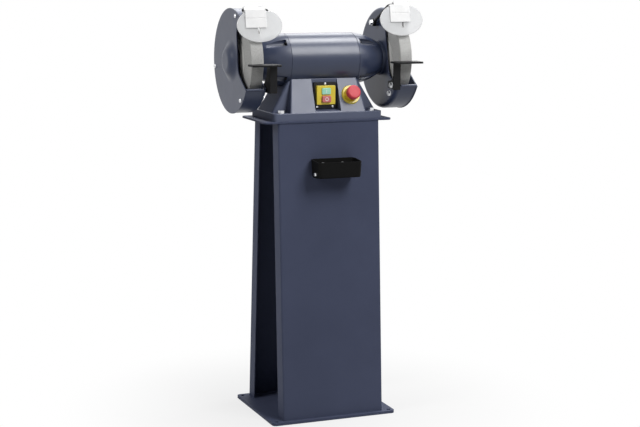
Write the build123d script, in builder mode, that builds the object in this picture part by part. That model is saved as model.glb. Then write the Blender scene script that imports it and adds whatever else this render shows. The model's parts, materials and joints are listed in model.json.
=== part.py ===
from build123d import *
import os
from math import atan2, cos, degrees, hypot, radians, sin, sqrt

# Pedestal bench grinder: a two-wheel grinder bolted to a sheet-steel stand.
# Frame: origin on the floor under the middle of the base plate, +X along the spindle
# towards the right-hand wheel, +Y to the back, +Z up. Sizes are in millimetres.

os.makedirs("parts", exist_ok=True)

# Stand
BASE_OVERHANG = 36.0
BASE_D = 320.0
BASE_T = 8.0
BASE_CORNER_R = 12.0
FLOOR_HOLE_D = 12.0
FLOOR_HOLE_INSET = 15.0
STAND_H = 860.0
TOP_OVERHANG_X = 30.0
TOP_OVERHANG_Y = 5.0
TOP_T = 5.0
TOP_CORNER_R = 16.0
PANEL_T = 3.0
PANEL_FLANGE = 46.0
PANEL_BEND_R = 6.0
PANEL_FOOT_SETBACK = 11.0
PANEL_HEAD_SETBACK = 2.0

# Coolant tray, hung on two headed screws by keyholes, with a drain plug
TRAY_W = 134.0
TRAY_D = 64.0
TRAY_SHIFT = 7.0
TRAY_RIM_SLOPE = 7.5
TRAY_SUMP = 12.0
TRAY_DRAFT = 3.0
TRAY_WALL = 3.0
TRAY_CORNER_R = 10.0
TRAY_RIM_DROP = 107.0
TRAY_CLEAR = 0.3
TRAY_SCREW_D = 6.0
TRAY_SCREW_HEAD_D = 11.0
TRAY_SCREW_HEAD_H = 3.0
TRAY_SCREW_GAP = 60.0
TRAY_SCREW_DROP = 16.0
KEYHOLE_CLEAR = 0.6
KEYHOLE_LIFT = 14.0
PLUG_D = 6.0
PLUG_HEAD_D = 11.0
PLUG_HEAD_H = 4.0
PLUG_UP = 11.0
PLUG_TAIL = 2.0

# Grinder base casting
SADDLE_RISE = 69.0
PLINTH_H = 22.0
PLINTH_CORNER_R = 10.0
PLINTH_EDGE_R = 1.5
CORE_EDGE_R = 8.0
CONTROL_EDGE_R = 4.0
CORE_FOOT_INSET = 6.0
CORE_FOOT_D = 122.0
CORE_HEAD_W = 212.0
CORE_HEAD_D = 104.0
CORE_HEAD_DROP = 54.0
CONTROL_BOLT_GAP = 11.5
CONTROL_DRAFT = 15.5
CONTROL_FOOT_SETBACK = 2.0
CONTROL_HEAD_Y = 54.0
CONTROL_HEAD_DROP = 47.0
CASTING_WALL = 8.0
SADDLE_GAP = 0.2
BASE_BOLT_D = 10.0
BASE_BOLT_AF = 17.0
BASE_BOLT_HEAD_H = 6.5
BASE_BOLT_PANEL_GAP = 14.0
BASE_BOLT_CORE_GAP = 6.0
BASE_BOLT_EDGE_X = 28.0
BASE_BOLT_EDGE_Y = 18.0
BASE_NUT_H = 8.0
BOLT_CLEAR = 0.5
BOLT_TAIL = 3.0
PAN_TAPER = 15.0
BASE_WASHER_D = 20.0
SADDLE_BOLT_D = 8.0
SADDLE_BOLT_AF = 13.0
SADDLE_BOLT_HEAD_H = 5.5
SADDLE_BOLT_X = 70.0
SADDLE_BOLT_GRIP = 7.5
GLAND_D = 20.0
GLAND_AF = 24.0
GLAND_L = 16.0
GLAND_BORE = 8.0
GLAND_TAPER = 6.0
GLAND_X = 60.0
GLAND_UP = 34.0

# Motor
SHELL_D = 150.0
SHELL_L = 208.0
SHELL_WALL = 10.0
SHELL_CHAMFER = 1.2
STATOR_L = 110.0
STATOR_WALL = 25.0
WINDING_L = 24.0
WINDING_INSET = 5.0
ROTOR_GAP = 0.5
FIT = 0.05

# End bells and bearings
BELL_SPIGOT_L = 6.0
BELL_SPIGOT_WALL = 7.0
BELL_NECK_D = 92.0
BELL_COLLAR_D = 100.0
BELL_COLLAR_L = 10.0
BELL_LEAD = 8.0
BELL_CREST_X = 0.5
BELL_CREST_R = 0.69
BELL_BOSS_D = 72.0
BELL_NOSE_WALL = 14.0
BELL_SCREW_D = 5.0
BELL_SCREW_HEAD_D = 8.5
BELL_SCREW_HEAD_H = 5.0
BELL_SCREW_GRIP = 8.0
BELL_SCREW_DEPTH = 14.0
FLUTE_R = 11.0
FLUTE_RISE = 3.0
FLUTE_TILT = 6.0
BEARING_OD = 52.0
BEARING_BORE_D = 25.0
BEARING_W = 15.0
BEARING_RACE_T = 4.0
BEARING_SHIELD_T = 1.0
BEARING_GAP = 0.15

# Spindle and wheels
SHAFT_ROTOR_D = 36.0
SHAFT_SHOULDER_D = 32.0
SHAFT_END_D = 20.0
SHAFT_GAP = 1.0
SHAFT_TAIL = 3.0
WHEEL_D = 250.0
WHEEL_T = 36.0
WHEEL_BORE = 32.0
WHEEL_EDGE_R = 1.5
BLOTTER_D = 136.0
BLOTTER_T = 1.0
FLANGE_D = 92.0
FLANGE_T = 5.0
FLANGE_GAP = 1.0
NUT_AF = 30.0
NUT_H = 16.0

# Wheel guards
GUARD_REACH = 93.0
GUARD_PLATE_T = 3.0
GUARD_WALL = 4.0
GUARD_GAP = 17.0
COVER_GAP = 15.0
COVER_T = 2.5
COVER_LIP = 1.5
DOME_BASE_D = 124.0
DOME_TOP_D = 44.0
DOME_CLEAR = 7.0
OPEN_TOP_DEG = 60.0
OPEN_LIP_DEG = -30.0
LIP_BEAD_D = 7.0
GUARD_EDGE_R = 12.0
CUT_CORNER_R = 40.0
COVER_CUT_TOP_INSET = 49.0
COVER_CUT_TOP_DEG = 60.3
COVER_CUT_LOW_INSET = 78.0
COVER_CUT_LOW_DEG = -26.0
PLATE_CUT_TOP_INSET = 46.0
PLATE_CUT_TOP_DEG = 70.0
PLATE_CUT_LOW_INSET = 68.0
PLATE_CUT_LOW_DEG = -34.5
COVER_SCREW_LEAD_DEG = 10.0
COVER_SCREW_D = 5.0
COVER_SCREW_HEAD_D = 12.0
COVER_SCREW_HEAD_H = 4.5
COVER_SCREW_L = 14.0
LUG_D = 15.0
LUG_L = 20.0
LUG_SINK = 1.0
REGISTER_D = 60.0
GUARD_SCREW_D = 6.0
GUARD_SCREW_L = 12.0
COUNTERSINK_DEG = 90.0

# Spark arresters
ARRESTER_SIDE_GAP = 5.0
ARRESTER_T = 3.0
ARRESTER_WHEEL_GAP = 4.0
ARRESTER_IN = 2.5
ARRESTER_OUT = 3.5
ARRESTER_SCREW_UP = 5.5
TAB_INSET = 2.0
TAB_H = 13.0
TAB_T = 4.0
ARRESTER_SCREW_D = 5.0
ARRESTER_SCREW_HEAD_D = 10.0
ARRESTER_SCREW_HEAD_H = 3.5
SLIDE_CLEAR = 0.2

# Tool rests
REST_COVER_GAP = 2.0
REST_D = 48.0
REST_T = 5.0
REST_OVERHANG = 20.0
REST_WHEEL_GAP = 3.0
REST_DROP = 1.0
REST_CORNER_R = 5.0
BRACKET_T = 5.0
BRACKET_SETBACK = 20.0
BRACKET_EDGE = 10.0
BRACKET_LEG_W = 26.0
BRACKET_FOOT_H = 20.0
BRACKET_FLANGE_W = 16.0
REST_BOLT_D = 8.0
REST_BOLT_AF = 13.0
REST_BOLT_HEAD_H = 5.5
REST_WASHER_D = 17.0
REST_WASHER_T = 1.6
REST_BOLT_INSET = 22.0
REST_BOLT_BELOW_DEG = 5.0
REST_IN = 2.0
REST_OUT = 15.0
LOWER_BOLT_INSET = 22.0
LOWER_BOLT_GAP = 7.0

# Eye shields
PIVOT_INSET = 43.0
PIVOT_DEG = 98.0
ROD_MARGIN = 4.5
ROD_LEAD_DEG = 1.5
LEFT_SWING = -3.0
RIGHT_SWING = 3.0
LEFT_SHIFT = 8.0
RIGHT_SHIFT = -8.0
ROD_D = 8.0
ROD_BEND_R = 10.0
ROD_FIT = 0.06
ARM_GAP = 13.0
EYE_D = 22.0
EYE_T = 9.0
PIVOT_BOLT_D = 8.0
PIVOT_BOLT_AF = 13.0
PIVOT_BOLT_HEAD_H = 6.0
PIVOT_FIT = 0.08
HOLDER_W = 60.0
HOLDER_HUB_D = 18.0
HOLDER_BEND_GAP = 3.0
HOLDER_LEG_T = 2.5
HOLDER_LEG_L = 50.0
HOLDER_ROOF = 4.0
HOLDER_GROOVE_UP = 26.0
HOLDER_GROOVE_W = 2.0
HOLDER_GROOVE_T = 0.8
SHIELD_FORWARD = 12.0
SHIELD_TILT = 10.0
SHIELD_W = 132.0
SHIELD_HALF_H = 46.0
SHIELD_TRIM = 7.0
SHIELD_T = 3.0
SHIELD_SHIFT = 3.0
SHIELD_FIT = 0.15
SHIELD_SLOT_W = 5.0
SHIELD_SLOT_L = 48.0
SHIELD_SLOT_DROP = 14.0
THUMB_D = 5.0
THUMB_HEAD_D = 10.0
THUMB_HEAD_H = 8.0
THUMB_EDGE = 2.5

# Switch in its pocket, and emergency stop
POCKET_SIDE = 5.0
POCKET_FLOOR = 3.0
POCKET_FLOOR_RISE = 4.0
POCKET_INSET = 5.0
SWITCH_W = 68.0
SWITCH_H = 74.0
SWITCH_T = 8.0
SWITCH_BLOCK_W = 46.0
SWITCH_BLOCK_H = 44.0
SWITCH_BLOCK_L = 22.0
SWITCH_BLOCK_GAP = 1.0
SWITCH_FOOT_GAP = 2.0
SWITCH_SCREW_D = 4.0
SWITCH_SCREW_HEAD_D = 7.0
SWITCH_SCREW_HEAD_H = 2.5
SWITCH_SCREW_L = 13.0
SWITCH_SCREW_INSET = 4.5
SWITCH_SCREW_X = 24.0
FACE_SIDE = 5.5
FACE_SCREW_GAP = 1.0
FACE_T = 10.0
FACE_RISE = 1.0
FACE_CORNER_R = 3.0
BUTTON_W = 27.0
BUTTON_H = 18.0
BUTTON_BAR = 4.0
BUTTON_CLEAR = 0.4
BUTTON_TRAVEL = 3.0
START_PROUD = 2.5
STOP_PROUD = 6.0
ESTOP_BLOCK_SIDE = 3.0
ESTOP_POCKET_GAP = 14.0
ESTOP_BACK_GAP = 2.0
ESTOP_UP = 50.0
ESTOP_RING_D = 56.0
ESTOP_RING_T = 6.0
ESTOP_RING_TAPER = 20.0
ESTOP_COLLAR_D = 30.0
ESTOP_COLLAR_H = 10.0
ESTOP_BODY_D = 22.0
ESTOP_BLOCK_WALL = 3.0
ESTOP_BLOCK_L = 26.0
ESTOP_STEM_D = 14.0
ESTOP_STEM_FIT = 0.06
ESTOP_CAP_D = 40.0
ESTOP_CAP_T = 16.0
ESTOP_CAP_GAP = 1.5
ESTOP_CAP_EDGE_R = 5.0
ESTOP_NOSE_D = 10.0
ESTOP_NOSE_L = 8.0
ESTOP_TRAVEL = 4.0

# Places worked out from the sizes above
SHELL_R = SHELL_D / 2
PLINTH_TOP = STAND_H + PLINTH_H
SPINDLE_Z = PLINTH_TOP + SADDLE_RISE + SHELL_R
POCKET_W = SWITCH_W + 2 * POCKET_SIDE
ESTOP_BLOCK_W = ESTOP_BODY_D + 2 * ESTOP_BLOCK_WALL
CHAMBER_IN = POCKET_W / 2 + CASTING_WALL
CHAMBER_OUT = CHAMBER_IN + ESTOP_POCKET_GAP + ESTOP_BLOCK_W + ESTOP_BLOCK_SIDE
ESTOP_X = CHAMBER_OUT - ESTOP_BLOCK_SIDE - ESTOP_BLOCK_W / 2
CONTROL_HEAD_W = 2 * (CHAMBER_OUT + CASTING_WALL)
CONTROL_FOOT_W = CONTROL_HEAD_W + 2 * CONTROL_DRAFT
BASE_BOLT_X = CONTROL_FOOT_W / 2 + CONTROL_BOLT_GAP + BASE_WASHER_D / 2
PANEL_W = 2 * (BASE_BOLT_X + BASE_BOLT_PANEL_GAP + PANEL_T)
BASE_W = PANEL_W + 2 * BASE_OVERHANG
BASE_BOLT_Y = CORE_FOOT_D / 2 + BASE_BOLT_CORE_GAP + BASE_WASHER_D / 2
PLINTH_W = 2 * (BASE_BOLT_X + BASE_BOLT_EDGE_X)
PLINTH_D = 2 * (BASE_BOLT_Y + BASE_BOLT_EDGE_Y)
TOP_W = PLINTH_W + 2 * TOP_OVERHANG_X
TOP_D = PLINTH_D + 2 * TOP_OVERHANG_Y
CORE_FOOT_W = PLINTH_W - 2 * CORE_FOOT_INSET
SHELL_END = SHELL_L / 2
SHELL_BORE_R = SHELL_R - SHELL_WALL
PLATE_X = SHELL_END + GUARD_REACH
PLATE_OUT_X = PLATE_X + GUARD_PLATE_T
FLANGE_X = PLATE_OUT_X + FLANGE_GAP
WHEEL_IN_X = FLANGE_X + FLANGE_T + BLOTTER_T
WHEEL_OUT_X = WHEEL_IN_X + WHEEL_T
WHEEL_R = WHEEL_D / 2
NUT_X = WHEEL_OUT_X + BLOTTER_T + FLANGE_T
SHAFT_END_X = NUT_X + NUT_H + SHAFT_TAIL
COVER_X = WHEEL_OUT_X + COVER_GAP
GUARD_R = WHEEL_R + GUARD_GAP + GUARD_WALL
BEARING_OUT_X = PLATE_X - BELL_NOSE_WALL
BEARING_IN_X = BEARING_OUT_X - BEARING_W

SPINDLE = Axis((0, 0, SPINDLE_Z), (1, 0, 0))
SPINDLE_SECTION = Plane(origin=(0, 0, SPINDLE_Z), x_dir=(1, 0, 0), z_dir=(0, -1, 0))
QUARTERS = (45, 135, 225, 315)
THIRDS = (0, 120, 240)


def save(piece, label):
    """Label a finished piece and write it as its own file."""
    piece.label = label
    export_step(piece, f"parts/{label}.step")


def save_mirrored(piece, label):
    """Write the left-hand copy of a right-hand piece."""
    with BuildPart() as left:
        mirror(piece, about=Plane.YZ)
    save(left.part, label)


def spindle_plane(x):
    """Plane square to the spindle at x, with +Y and +Z as its own axes."""
    return Plane(origin=(x, 0, SPINDLE_Z), x_dir=(0, 1, 0), z_dir=(1, 0, 0))


def polar(radius, angle):
    """Point in a spindle plane, at an angle measured from the front upwards."""
    return (-radius * cos(radians(angle)), radius * sin(radians(angle)))


def turned(profile):
    """Solid turned about the spindle from (x, radius) points."""
    with BuildPart() as body:
        with BuildSketch(SPINDLE_SECTION):
            with BuildLine():
                Polyline(*profile, close=True)
            make_face()
        revolve(axis=SPINDLE)
    return body.part


def both_ends(right_part):
    """A right-hand solid and its mirror image, kept as two solids."""
    with BuildPart() as pair:
        add(right_part)
        mirror(right_part, about=Plane.YZ)
    return pair.part


def hex_bolts(places, shank_d, shank_l, head_af, head_h, collar_d, collar_t):
    """Hexagon bolts with a washer face, heads along each plane's normal."""
    with BuildPart() as bolts:
        for place in places:
            with BuildSketch(place):
                Circle(shank_d / 2)
            extrude(amount=-shank_l)
            with BuildSketch(place):
                Circle(collar_d / 2)
            extrude(amount=collar_t)
            with BuildSketch(place.offset(collar_t)):
                RegularPolygon(head_af / 2, 6, major_radius=False)
            extrude(amount=head_h)
    return bolts.part


def pan_screws(places, shank_d, shank_l, head_d, head_h):
    """Round-headed screws, heads along each plane's normal."""
    with BuildPart() as screws:
        for place in places:
            with BuildSketch(place):
                Circle(shank_d / 2)
            extrude(amount=-shank_l)
            with BuildSketch(place):
                Circle(head_d / 2)
            extrude(amount=head_h, taper=PAN_TAPER)
    return screws.part


# Base plate, bolted to the floor at its corners
with BuildPart() as base_plate:
    with BuildSketch():
        RectangleRounded(BASE_W, BASE_D, BASE_CORNER_R)
        with GridLocations(BASE_W - 2 * FLOOR_HOLE_INSET, BASE_D - 2 * FLOOR_HOLE_INSET, 2, 2):
            Circle(FLOOR_HOLE_D / 2, mode=Mode.SUBTRACT)
    extrude(amount=BASE_T)
save(base_plate.part, "base_plate")

# Leaning front and rear panels, each a bent channel
PANEL_FOOT_Y = BASE_D / 2 - PANEL_FOOT_SETBACK
PANEL_HEAD_Y = TOP_D / 2 - PANEL_HEAD_SETBACK
PANEL_RISE = STAND_H - TOP_T - BASE_T
PANEL_LEAN = PANEL_FOOT_Y - PANEL_HEAD_Y
PANEL_UP = Vector(0, PANEL_LEAN, PANEL_RISE).normalized()
TRAY_RIM_Z = STAND_H - TRAY_RIM_DROP
TRAY_RIM_Y = -PANEL_FOOT_Y + PANEL_LEAN * (TRAY_RIM_Z - BASE_T) / PANEL_RISE
PANEL_FACE = Plane(
    origin=(0, TRAY_RIM_Y, TRAY_RIM_Z), x_dir=(1, 0, 0), z_dir=(0, -PANEL_UP.Z, PANEL_UP.Y)
)


def channel():
    """Plain channel panel, standing on the base plate with its back to the front."""
    edge = PANEL_W / 2
    front = -PANEL_FOOT_Y
    with BuildPart() as panel:
        with BuildSketch(Plane.XY.offset(BASE_T)):
            with BuildLine():
                FilletPolyline(
                    (-edge, front + PANEL_FLANGE),
                    (-edge, front),
                    (edge, front),
                    (edge, front + PANEL_FLANGE),
                    radius=PANEL_BEND_R,
                )
                offset(amount=PANEL_T, side=Side.LEFT)
            make_face()
        extrude(amount=hypot(PANEL_LEAN, PANEL_RISE), dir=PANEL_UP)
    return panel.part


with BuildPart() as front_panel:
    add(channel())
    with BuildSketch(PANEL_FACE):
        with Locations((TRAY_SHIFT, -TRAY_SCREW_DROP)):
            with GridLocations(TRAY_SCREW_GAP, 0, 2, 1):
                Circle(TRAY_SCREW_D / 2 + FIT)
    extrude(amount=-2 * PANEL_T, mode=Mode.SUBTRACT)
save(front_panel.part, "front_panel")

with BuildPart() as rear_panel:
    mirror(channel(), about=Plane.XZ)
save(rear_panel.part, "rear_panel")

# Top plate
with BuildPart() as top_plate:
    with BuildSketch(Plane.XY.offset(STAND_H - TOP_T)):
        RectangleRounded(TOP_W, TOP_D, TOP_CORNER_R)
        with GridLocations(2 * BASE_BOLT_X, 2 * BASE_BOLT_Y, 2, 2):
            Circle(BASE_BOLT_D / 2 + BOLT_CLEAR, mode=Mode.SUBTRACT)
    extrude(amount=TOP_T)
save(top_plate.part, "top_plate")

# Coolant tray and the headed screws it hangs on
TRAY_BACK = PANEL_FACE.offset(TRAY_CLEAR)
TRAY_RIM = Plane(
    origin=TRAY_BACK.from_local_coords((TRAY_SHIFT, 0, 0)), x_dir=(1, 0, 0), z_dir=PANEL_UP
)
TRAY_TRIM = TRAY_RIM.rotated((TRAY_RIM_SLOPE, 0, 0))
TRAY_H = TRAY_SCREW_DROP + KEYHOLE_LIFT + TRAY_SCREW_HEAD_D + TRAY_SUMP
KEYHOLE_W = TRAY_SCREW_D + 2 * KEYHOLE_CLEAR
KEYHOLE_TOP = -TRAY_SCREW_DROP - KEYHOLE_CLEAR + FIT
PLUG = Plane(
    origin=TRAY_RIM.from_local_coords(
        (-TRAY_W / 2 + TRAY_DRAFT * (1 - PLUG_UP / TRAY_H), -TRAY_D / 2, PLUG_UP - TRAY_H)
    ),
    x_dir=(0, 1, 0),
    z_dir=Vector(-TRAY_H, 0, 0) - PANEL_UP * TRAY_DRAFT,
)


def tray_block(wall):
    """Drafted block of the tray's outline, drawn in by a wall on every side but the top."""
    width = TRAY_W - 2 * wall
    depth = TRAY_D - 2 * wall
    corner = TRAY_CORNER_R - wall
    with BuildPart() as block:
        with BuildSketch(TRAY_RIM):
            with Locations((0, -wall - depth / 2)):
                RectangleRounded(width, depth, corner)
        with BuildSketch(TRAY_RIM.offset(wall - TRAY_H)):
            with Locations((0, -wall - (depth - TRAY_DRAFT) / 2)):
                RectangleRounded(width - 2 * TRAY_DRAFT, depth - TRAY_DRAFT, corner)
        loft(ruled=True)
        fillet(block.faces().sort_by(Axis.Z)[0].edges(), corner / 2)
    return block.part


with BuildPart() as coolant_tray:
    add(tray_block(0))
    add(tray_block(TRAY_WALL), mode=Mode.SUBTRACT)
    with BuildSketch(TRAY_BACK):
        with Locations((TRAY_SHIFT, KEYHOLE_TOP - KEYHOLE_LIFT / 2)):
            with GridLocations(TRAY_SCREW_GAP, 0, 2, 1):
                SlotCenterToCenter(KEYHOLE_LIFT, KEYHOLE_W, rotation=90)
        with Locations((TRAY_SHIFT, KEYHOLE_TOP - KEYHOLE_LIFT)):
            with GridLocations(TRAY_SCREW_GAP, 0, 2, 1):
                Circle(TRAY_SCREW_HEAD_D / 2 + KEYHOLE_CLEAR)
    extrude(amount=2 * TRAY_WALL, both=True, mode=Mode.SUBTRACT)
    with BuildSketch(PLUG):
        Circle(PLUG_D / 2 + FIT)
    extrude(amount=2 * TRAY_WALL, both=True, mode=Mode.SUBTRACT)
    split(bisect_by=TRAY_TRIM, keep=Keep.BOTTOM)
save(coolant_tray.part, "coolant_tray")

save(
    pan_screws([PLUG], PLUG_D, TRAY_WALL + PLUG_TAIL, PLUG_HEAD_D, PLUG_HEAD_H),
    "drain_plug",
)

TRAY_SCREW_SEAT = TRAY_BACK.offset(TRAY_WALL + TRAY_CLEAR)
tray_screw_places = [
    Plane(
        origin=TRAY_SCREW_SEAT.from_local_coords((x, -TRAY_SCREW_DROP, 0)),
        x_dir=(1, 0, 0),
        z_dir=PANEL_FACE.z_dir,
    )
    for x in (TRAY_SHIFT - TRAY_SCREW_GAP / 2, TRAY_SHIFT + TRAY_SCREW_GAP / 2)
]
TRAY_SCREW_L = TRAY_WALL + 2 * TRAY_CLEAR + PANEL_T
save(
    pan_screws(tray_screw_places, TRAY_SCREW_D, TRAY_SCREW_L, TRAY_SCREW_HEAD_D, TRAY_SCREW_HEAD_H),
    "tray_screws",
)

# Base casting: plinth, flared core with a saddle, and a sloped control box in front
CONTROL_FOOT_Y = -PLINTH_D / 2 + CONTROL_FOOT_SETBACK
CONTROL_HEAD_Z = SPINDLE_Z - CONTROL_HEAD_DROP
CONTROL_RUN = -CONTROL_HEAD_Y - CONTROL_FOOT_Y
CONTROL_RISE = CONTROL_HEAD_Z - PLINTH_TOP
CONTROL_SLOPE = CONTROL_RUN / CONTROL_RISE
CONTROL = Plane(
    origin=(0, CONTROL_FOOT_Y, PLINTH_TOP), x_dir=(1, 0, 0), z_dir=(0, -CONTROL_RISE, CONTROL_RUN)
)
CORE_HEAD_Z = SPINDLE_Z - CORE_HEAD_DROP
CAVITY_TOP_Z = SPINDLE_Z - SHELL_R - CASTING_WALL
POCKET_Y = -CORE_FOOT_D / 2 + POCKET_INSET
POCKET_BOTTOM = PLINTH_TOP + POCKET_FLOOR
SWITCH_Z = POCKET_BOTTOM + POCKET_FLOOR_RISE + SWITCH_FOOT_GAP + SWITCH_H / 2
SWITCH_BLOCK_DROP = SWITCH_Z - CAVITY_TOP_Z + SWITCH_BLOCK_GAP + SWITCH_BLOCK_H / 2
SWITCH = Plane(origin=(0, POCKET_Y, SWITCH_Z), x_dir=(1, 0, 0), z_dir=(0, -1, 0))
ESTOP = Plane(
    origin=CONTROL.from_local_coords((ESTOP_X, ESTOP_UP, 0)), x_dir=(1, 0, 0), z_dir=CONTROL.z_dir
)
ESTOP_BLOCK_BACK = ESTOP.offset(-CASTING_WALL - ESTOP_BLOCK_L - ESTOP_BACK_GAP)
CHAMBER_BACK_Y = ESTOP_BLOCK_BACK.from_local_coords((0, ESTOP_BLOCK_W / 2, 0)).Y
SCREW_ROW = SWITCH_H / 2 - SWITCH_SCREW_INSET
switch_screw_points = [(0, SCREW_ROW), (-SWITCH_SCREW_X, -SCREW_ROW), (SWITCH_SCREW_X, -SCREW_ROW)]
GLAND_Z = PLINTH_TOP + GLAND_UP
CORE_SLOPE = (CORE_FOOT_D - CORE_HEAD_D) / 2 / (CORE_HEAD_Z - PLINTH_TOP)
GLAND_Y = CORE_FOOT_D / 2 - CORE_SLOPE * GLAND_UP
GLAND = Plane(origin=(GLAND_X, GLAND_Y, GLAND_Z), x_dir=(-1, 0, 0), z_dir=(0, 1, CORE_SLOPE))


def leaning_edges(part):
    """The edges of a tapered block that run from its foot to its head."""
    return part.edges().filter_by(Axis.X, reverse=True).filter_by(Axis.Y, reverse=True)


with BuildPart() as core:
    with BuildSketch(Plane.XY.offset(PLINTH_TOP)):
        Rectangle(CORE_FOOT_W, CORE_FOOT_D)
    with BuildSketch(Plane.XY.offset(CORE_HEAD_Z)):
        Rectangle(CORE_HEAD_W, CORE_HEAD_D)
    loft(ruled=True)
    fillet(leaning_edges(core), CORE_EDGE_R)

with BuildPart() as control_box:
    with BuildSketch(Plane.XY.offset(PLINTH_TOP)):
        with Locations((0, CONTROL_FOOT_Y / 2)):
            Rectangle(CONTROL_FOOT_W, -CONTROL_FOOT_Y)
    with BuildSketch(Plane.XY.offset(CONTROL_HEAD_Z)):
        with Locations((0, -CONTROL_HEAD_Y / 2)):
            Rectangle(CONTROL_HEAD_W, CONTROL_HEAD_Y)
    loft(ruled=True)
    fillet(leaning_edges(control_box), CONTROL_EDGE_R)

with BuildPart() as grinder_base:
    with BuildSketch(Plane.XY.offset(STAND_H)):
        RectangleRounded(PLINTH_W, PLINTH_D, PLINTH_CORNER_R)
    extrude(amount=PLINTH_H)
    fillet(faces().sort_by(Axis.Z)[-1].edges(), PLINTH_EDGE_R)
    add(core.part)
    add(control_box.part)
    with BuildSketch(spindle_plane(0)):
        Circle(SHELL_R + SADDLE_GAP)
    extrude(amount=PLINTH_W, both=True, mode=Mode.SUBTRACT)
    with BuildSketch(Plane.XY.offset(STAND_H)):
        Rectangle(CORE_FOOT_W - 2 * CASTING_WALL, CORE_FOOT_D - 2 * CASTING_WALL)
    with BuildSketch(Plane.XY.offset(CAVITY_TOP_Z)):
        Rectangle(CORE_HEAD_W - 2 * CASTING_WALL, CORE_HEAD_D - 2 * CASTING_WALL)
    loft(ruled=True, mode=Mode.SUBTRACT)
    for side in (-1, 1):
        top = CAVITY_TOP_Z + CASTING_WALL
        front = CONTROL_FOOT_Y + CASTING_WALL / cos(atan2(CONTROL_RUN, CONTROL_RISE))
        with BuildSketch(Plane.YZ.offset(side * (CHAMBER_IN + CHAMBER_OUT) / 2)):
            with BuildLine():
                Polyline(
                    (front, STAND_H),
                    (front, PLINTH_TOP),
                    (front + CONTROL_SLOPE * (top - PLINTH_TOP), top),
                    (CHAMBER_BACK_Y, top),
                    (CHAMBER_BACK_Y, STAND_H),
                    close=True,
                )
            make_face()
        extrude(amount=(CHAMBER_OUT - CHAMBER_IN) / 2, both=True, mode=Mode.SUBTRACT)
    with BuildSketch(Plane.YZ):
        with BuildLine():
            Polyline(
                (POCKET_Y, SPINDLE_Z),
                (POCKET_Y, POCKET_BOTTOM + POCKET_FLOOR_RISE),
                (CONTROL_FOOT_Y, POCKET_BOTTOM),
                (-PLINTH_D, POCKET_BOTTOM),
                (-PLINTH_D, SPINDLE_Z),
                close=True,
            )
        make_face()
    extrude(amount=POCKET_W / 2, both=True, mode=Mode.SUBTRACT)
    with BuildSketch(SWITCH):
        with Locations((0, -SWITCH_BLOCK_DROP)):
            Rectangle(SWITCH_BLOCK_W + 2 * BUTTON_CLEAR, SWITCH_BLOCK_H + 2 * BUTTON_CLEAR)
    extrude(amount=-2 * CASTING_WALL, mode=Mode.SUBTRACT)
    with BuildSketch(SWITCH):
        with Locations(*switch_screw_points):
            Circle(SWITCH_SCREW_D / 2 + FIT)
    extrude(amount=-(SWITCH_SCREW_L - SWITCH_T), mode=Mode.SUBTRACT)
    with BuildSketch(ESTOP):
        Circle(ESTOP_BODY_D / 2 + FIT)
    extrude(amount=-2 * CASTING_WALL, mode=Mode.SUBTRACT)
    with BuildSketch(GLAND):
        Circle(GLAND_D / 2 + FIT)
    extrude(amount=-4 * CASTING_WALL, mode=Mode.SUBTRACT)
    with BuildSketch(Plane.XY.offset(STAND_H)):
        with GridLocations(2 * BASE_BOLT_X, 2 * BASE_BOLT_Y, 2, 2):
            Circle(BASE_BOLT_D / 2 + BOLT_CLEAR)
    extrude(amount=PLINTH_H, mode=Mode.SUBTRACT)
    with BuildSketch(Plane.XY.offset(CAVITY_TOP_Z)):
        with GridLocations(2 * SADDLE_BOLT_X, 0, 2, 1):
            Circle(SADDLE_BOLT_D / 2 + BOLT_CLEAR)
    extrude(amount=2 * CASTING_WALL, mode=Mode.SUBTRACT)
save(grinder_base.part, "grinder_base")

bolt_places = [
    Plane(origin=(x, y, PLINTH_TOP))
    for x in (-BASE_BOLT_X, BASE_BOLT_X)
    for y in (-BASE_BOLT_Y, BASE_BOLT_Y)
]
BASE_BOLT_L = PLINTH_H + TOP_T + BASE_NUT_H + BOLT_TAIL
save(
    hex_bolts(
        bolt_places,
        BASE_BOLT_D,
        BASE_BOLT_L,
        BASE_BOLT_AF,
        BASE_BOLT_HEAD_H,
        BASE_WASHER_D,
        REST_WASHER_T,
    ),
    "base_bolts",
)

with BuildPart() as base_nuts:
    with BuildSketch(Plane.XY.offset(STAND_H - TOP_T)):
        with GridLocations(2 * BASE_BOLT_X, 2 * BASE_BOLT_Y, 2, 2):
            RegularPolygon(BASE_BOLT_AF / 2, 6, major_radius=False)
            Circle(BASE_BOLT_D / 2 + FIT, mode=Mode.SUBTRACT)
    extrude(amount=-BASE_NUT_H)
save(base_nuts.part, "base_nuts")

# Bolts from inside the casting that hold the motor in its saddle
saddle_bolt_places = [
    Plane(origin=(x, 0, CAVITY_TOP_Z), x_dir=(1, 0, 0), z_dir=(0, 0, -1))
    for x in (-SADDLE_BOLT_X, SADDLE_BOLT_X)
]
save(
    hex_bolts(
        saddle_bolt_places,
        SADDLE_BOLT_D,
        CASTING_WALL + SADDLE_BOLT_GRIP,
        SADDLE_BOLT_AF,
        SADDLE_BOLT_HEAD_H,
        REST_WASHER_D,
        REST_WASHER_T,
    ),
    "saddle_bolts",
)

# Cable gland at the back of the base
with BuildPart() as cable_gland:
    with BuildSketch(GLAND):
        Circle(GLAND_D / 2)
    extrude(amount=-2 * CASTING_WALL)
    with BuildSketch(GLAND):
        RegularPolygon(GLAND_AF / 2, 6, major_radius=False)
    extrude(amount=GLAND_L / 2)
    with BuildSketch(GLAND):
        Circle(GLAND_D / 2)
    extrude(amount=GLAND_L, taper=GLAND_TAPER)
    with BuildSketch(GLAND):
        Circle(GLAND_BORE / 2)
    extrude(amount=2 * GLAND_L, both=True, mode=Mode.SUBTRACT)
save(cable_gland.part, "cable_gland")

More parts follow.
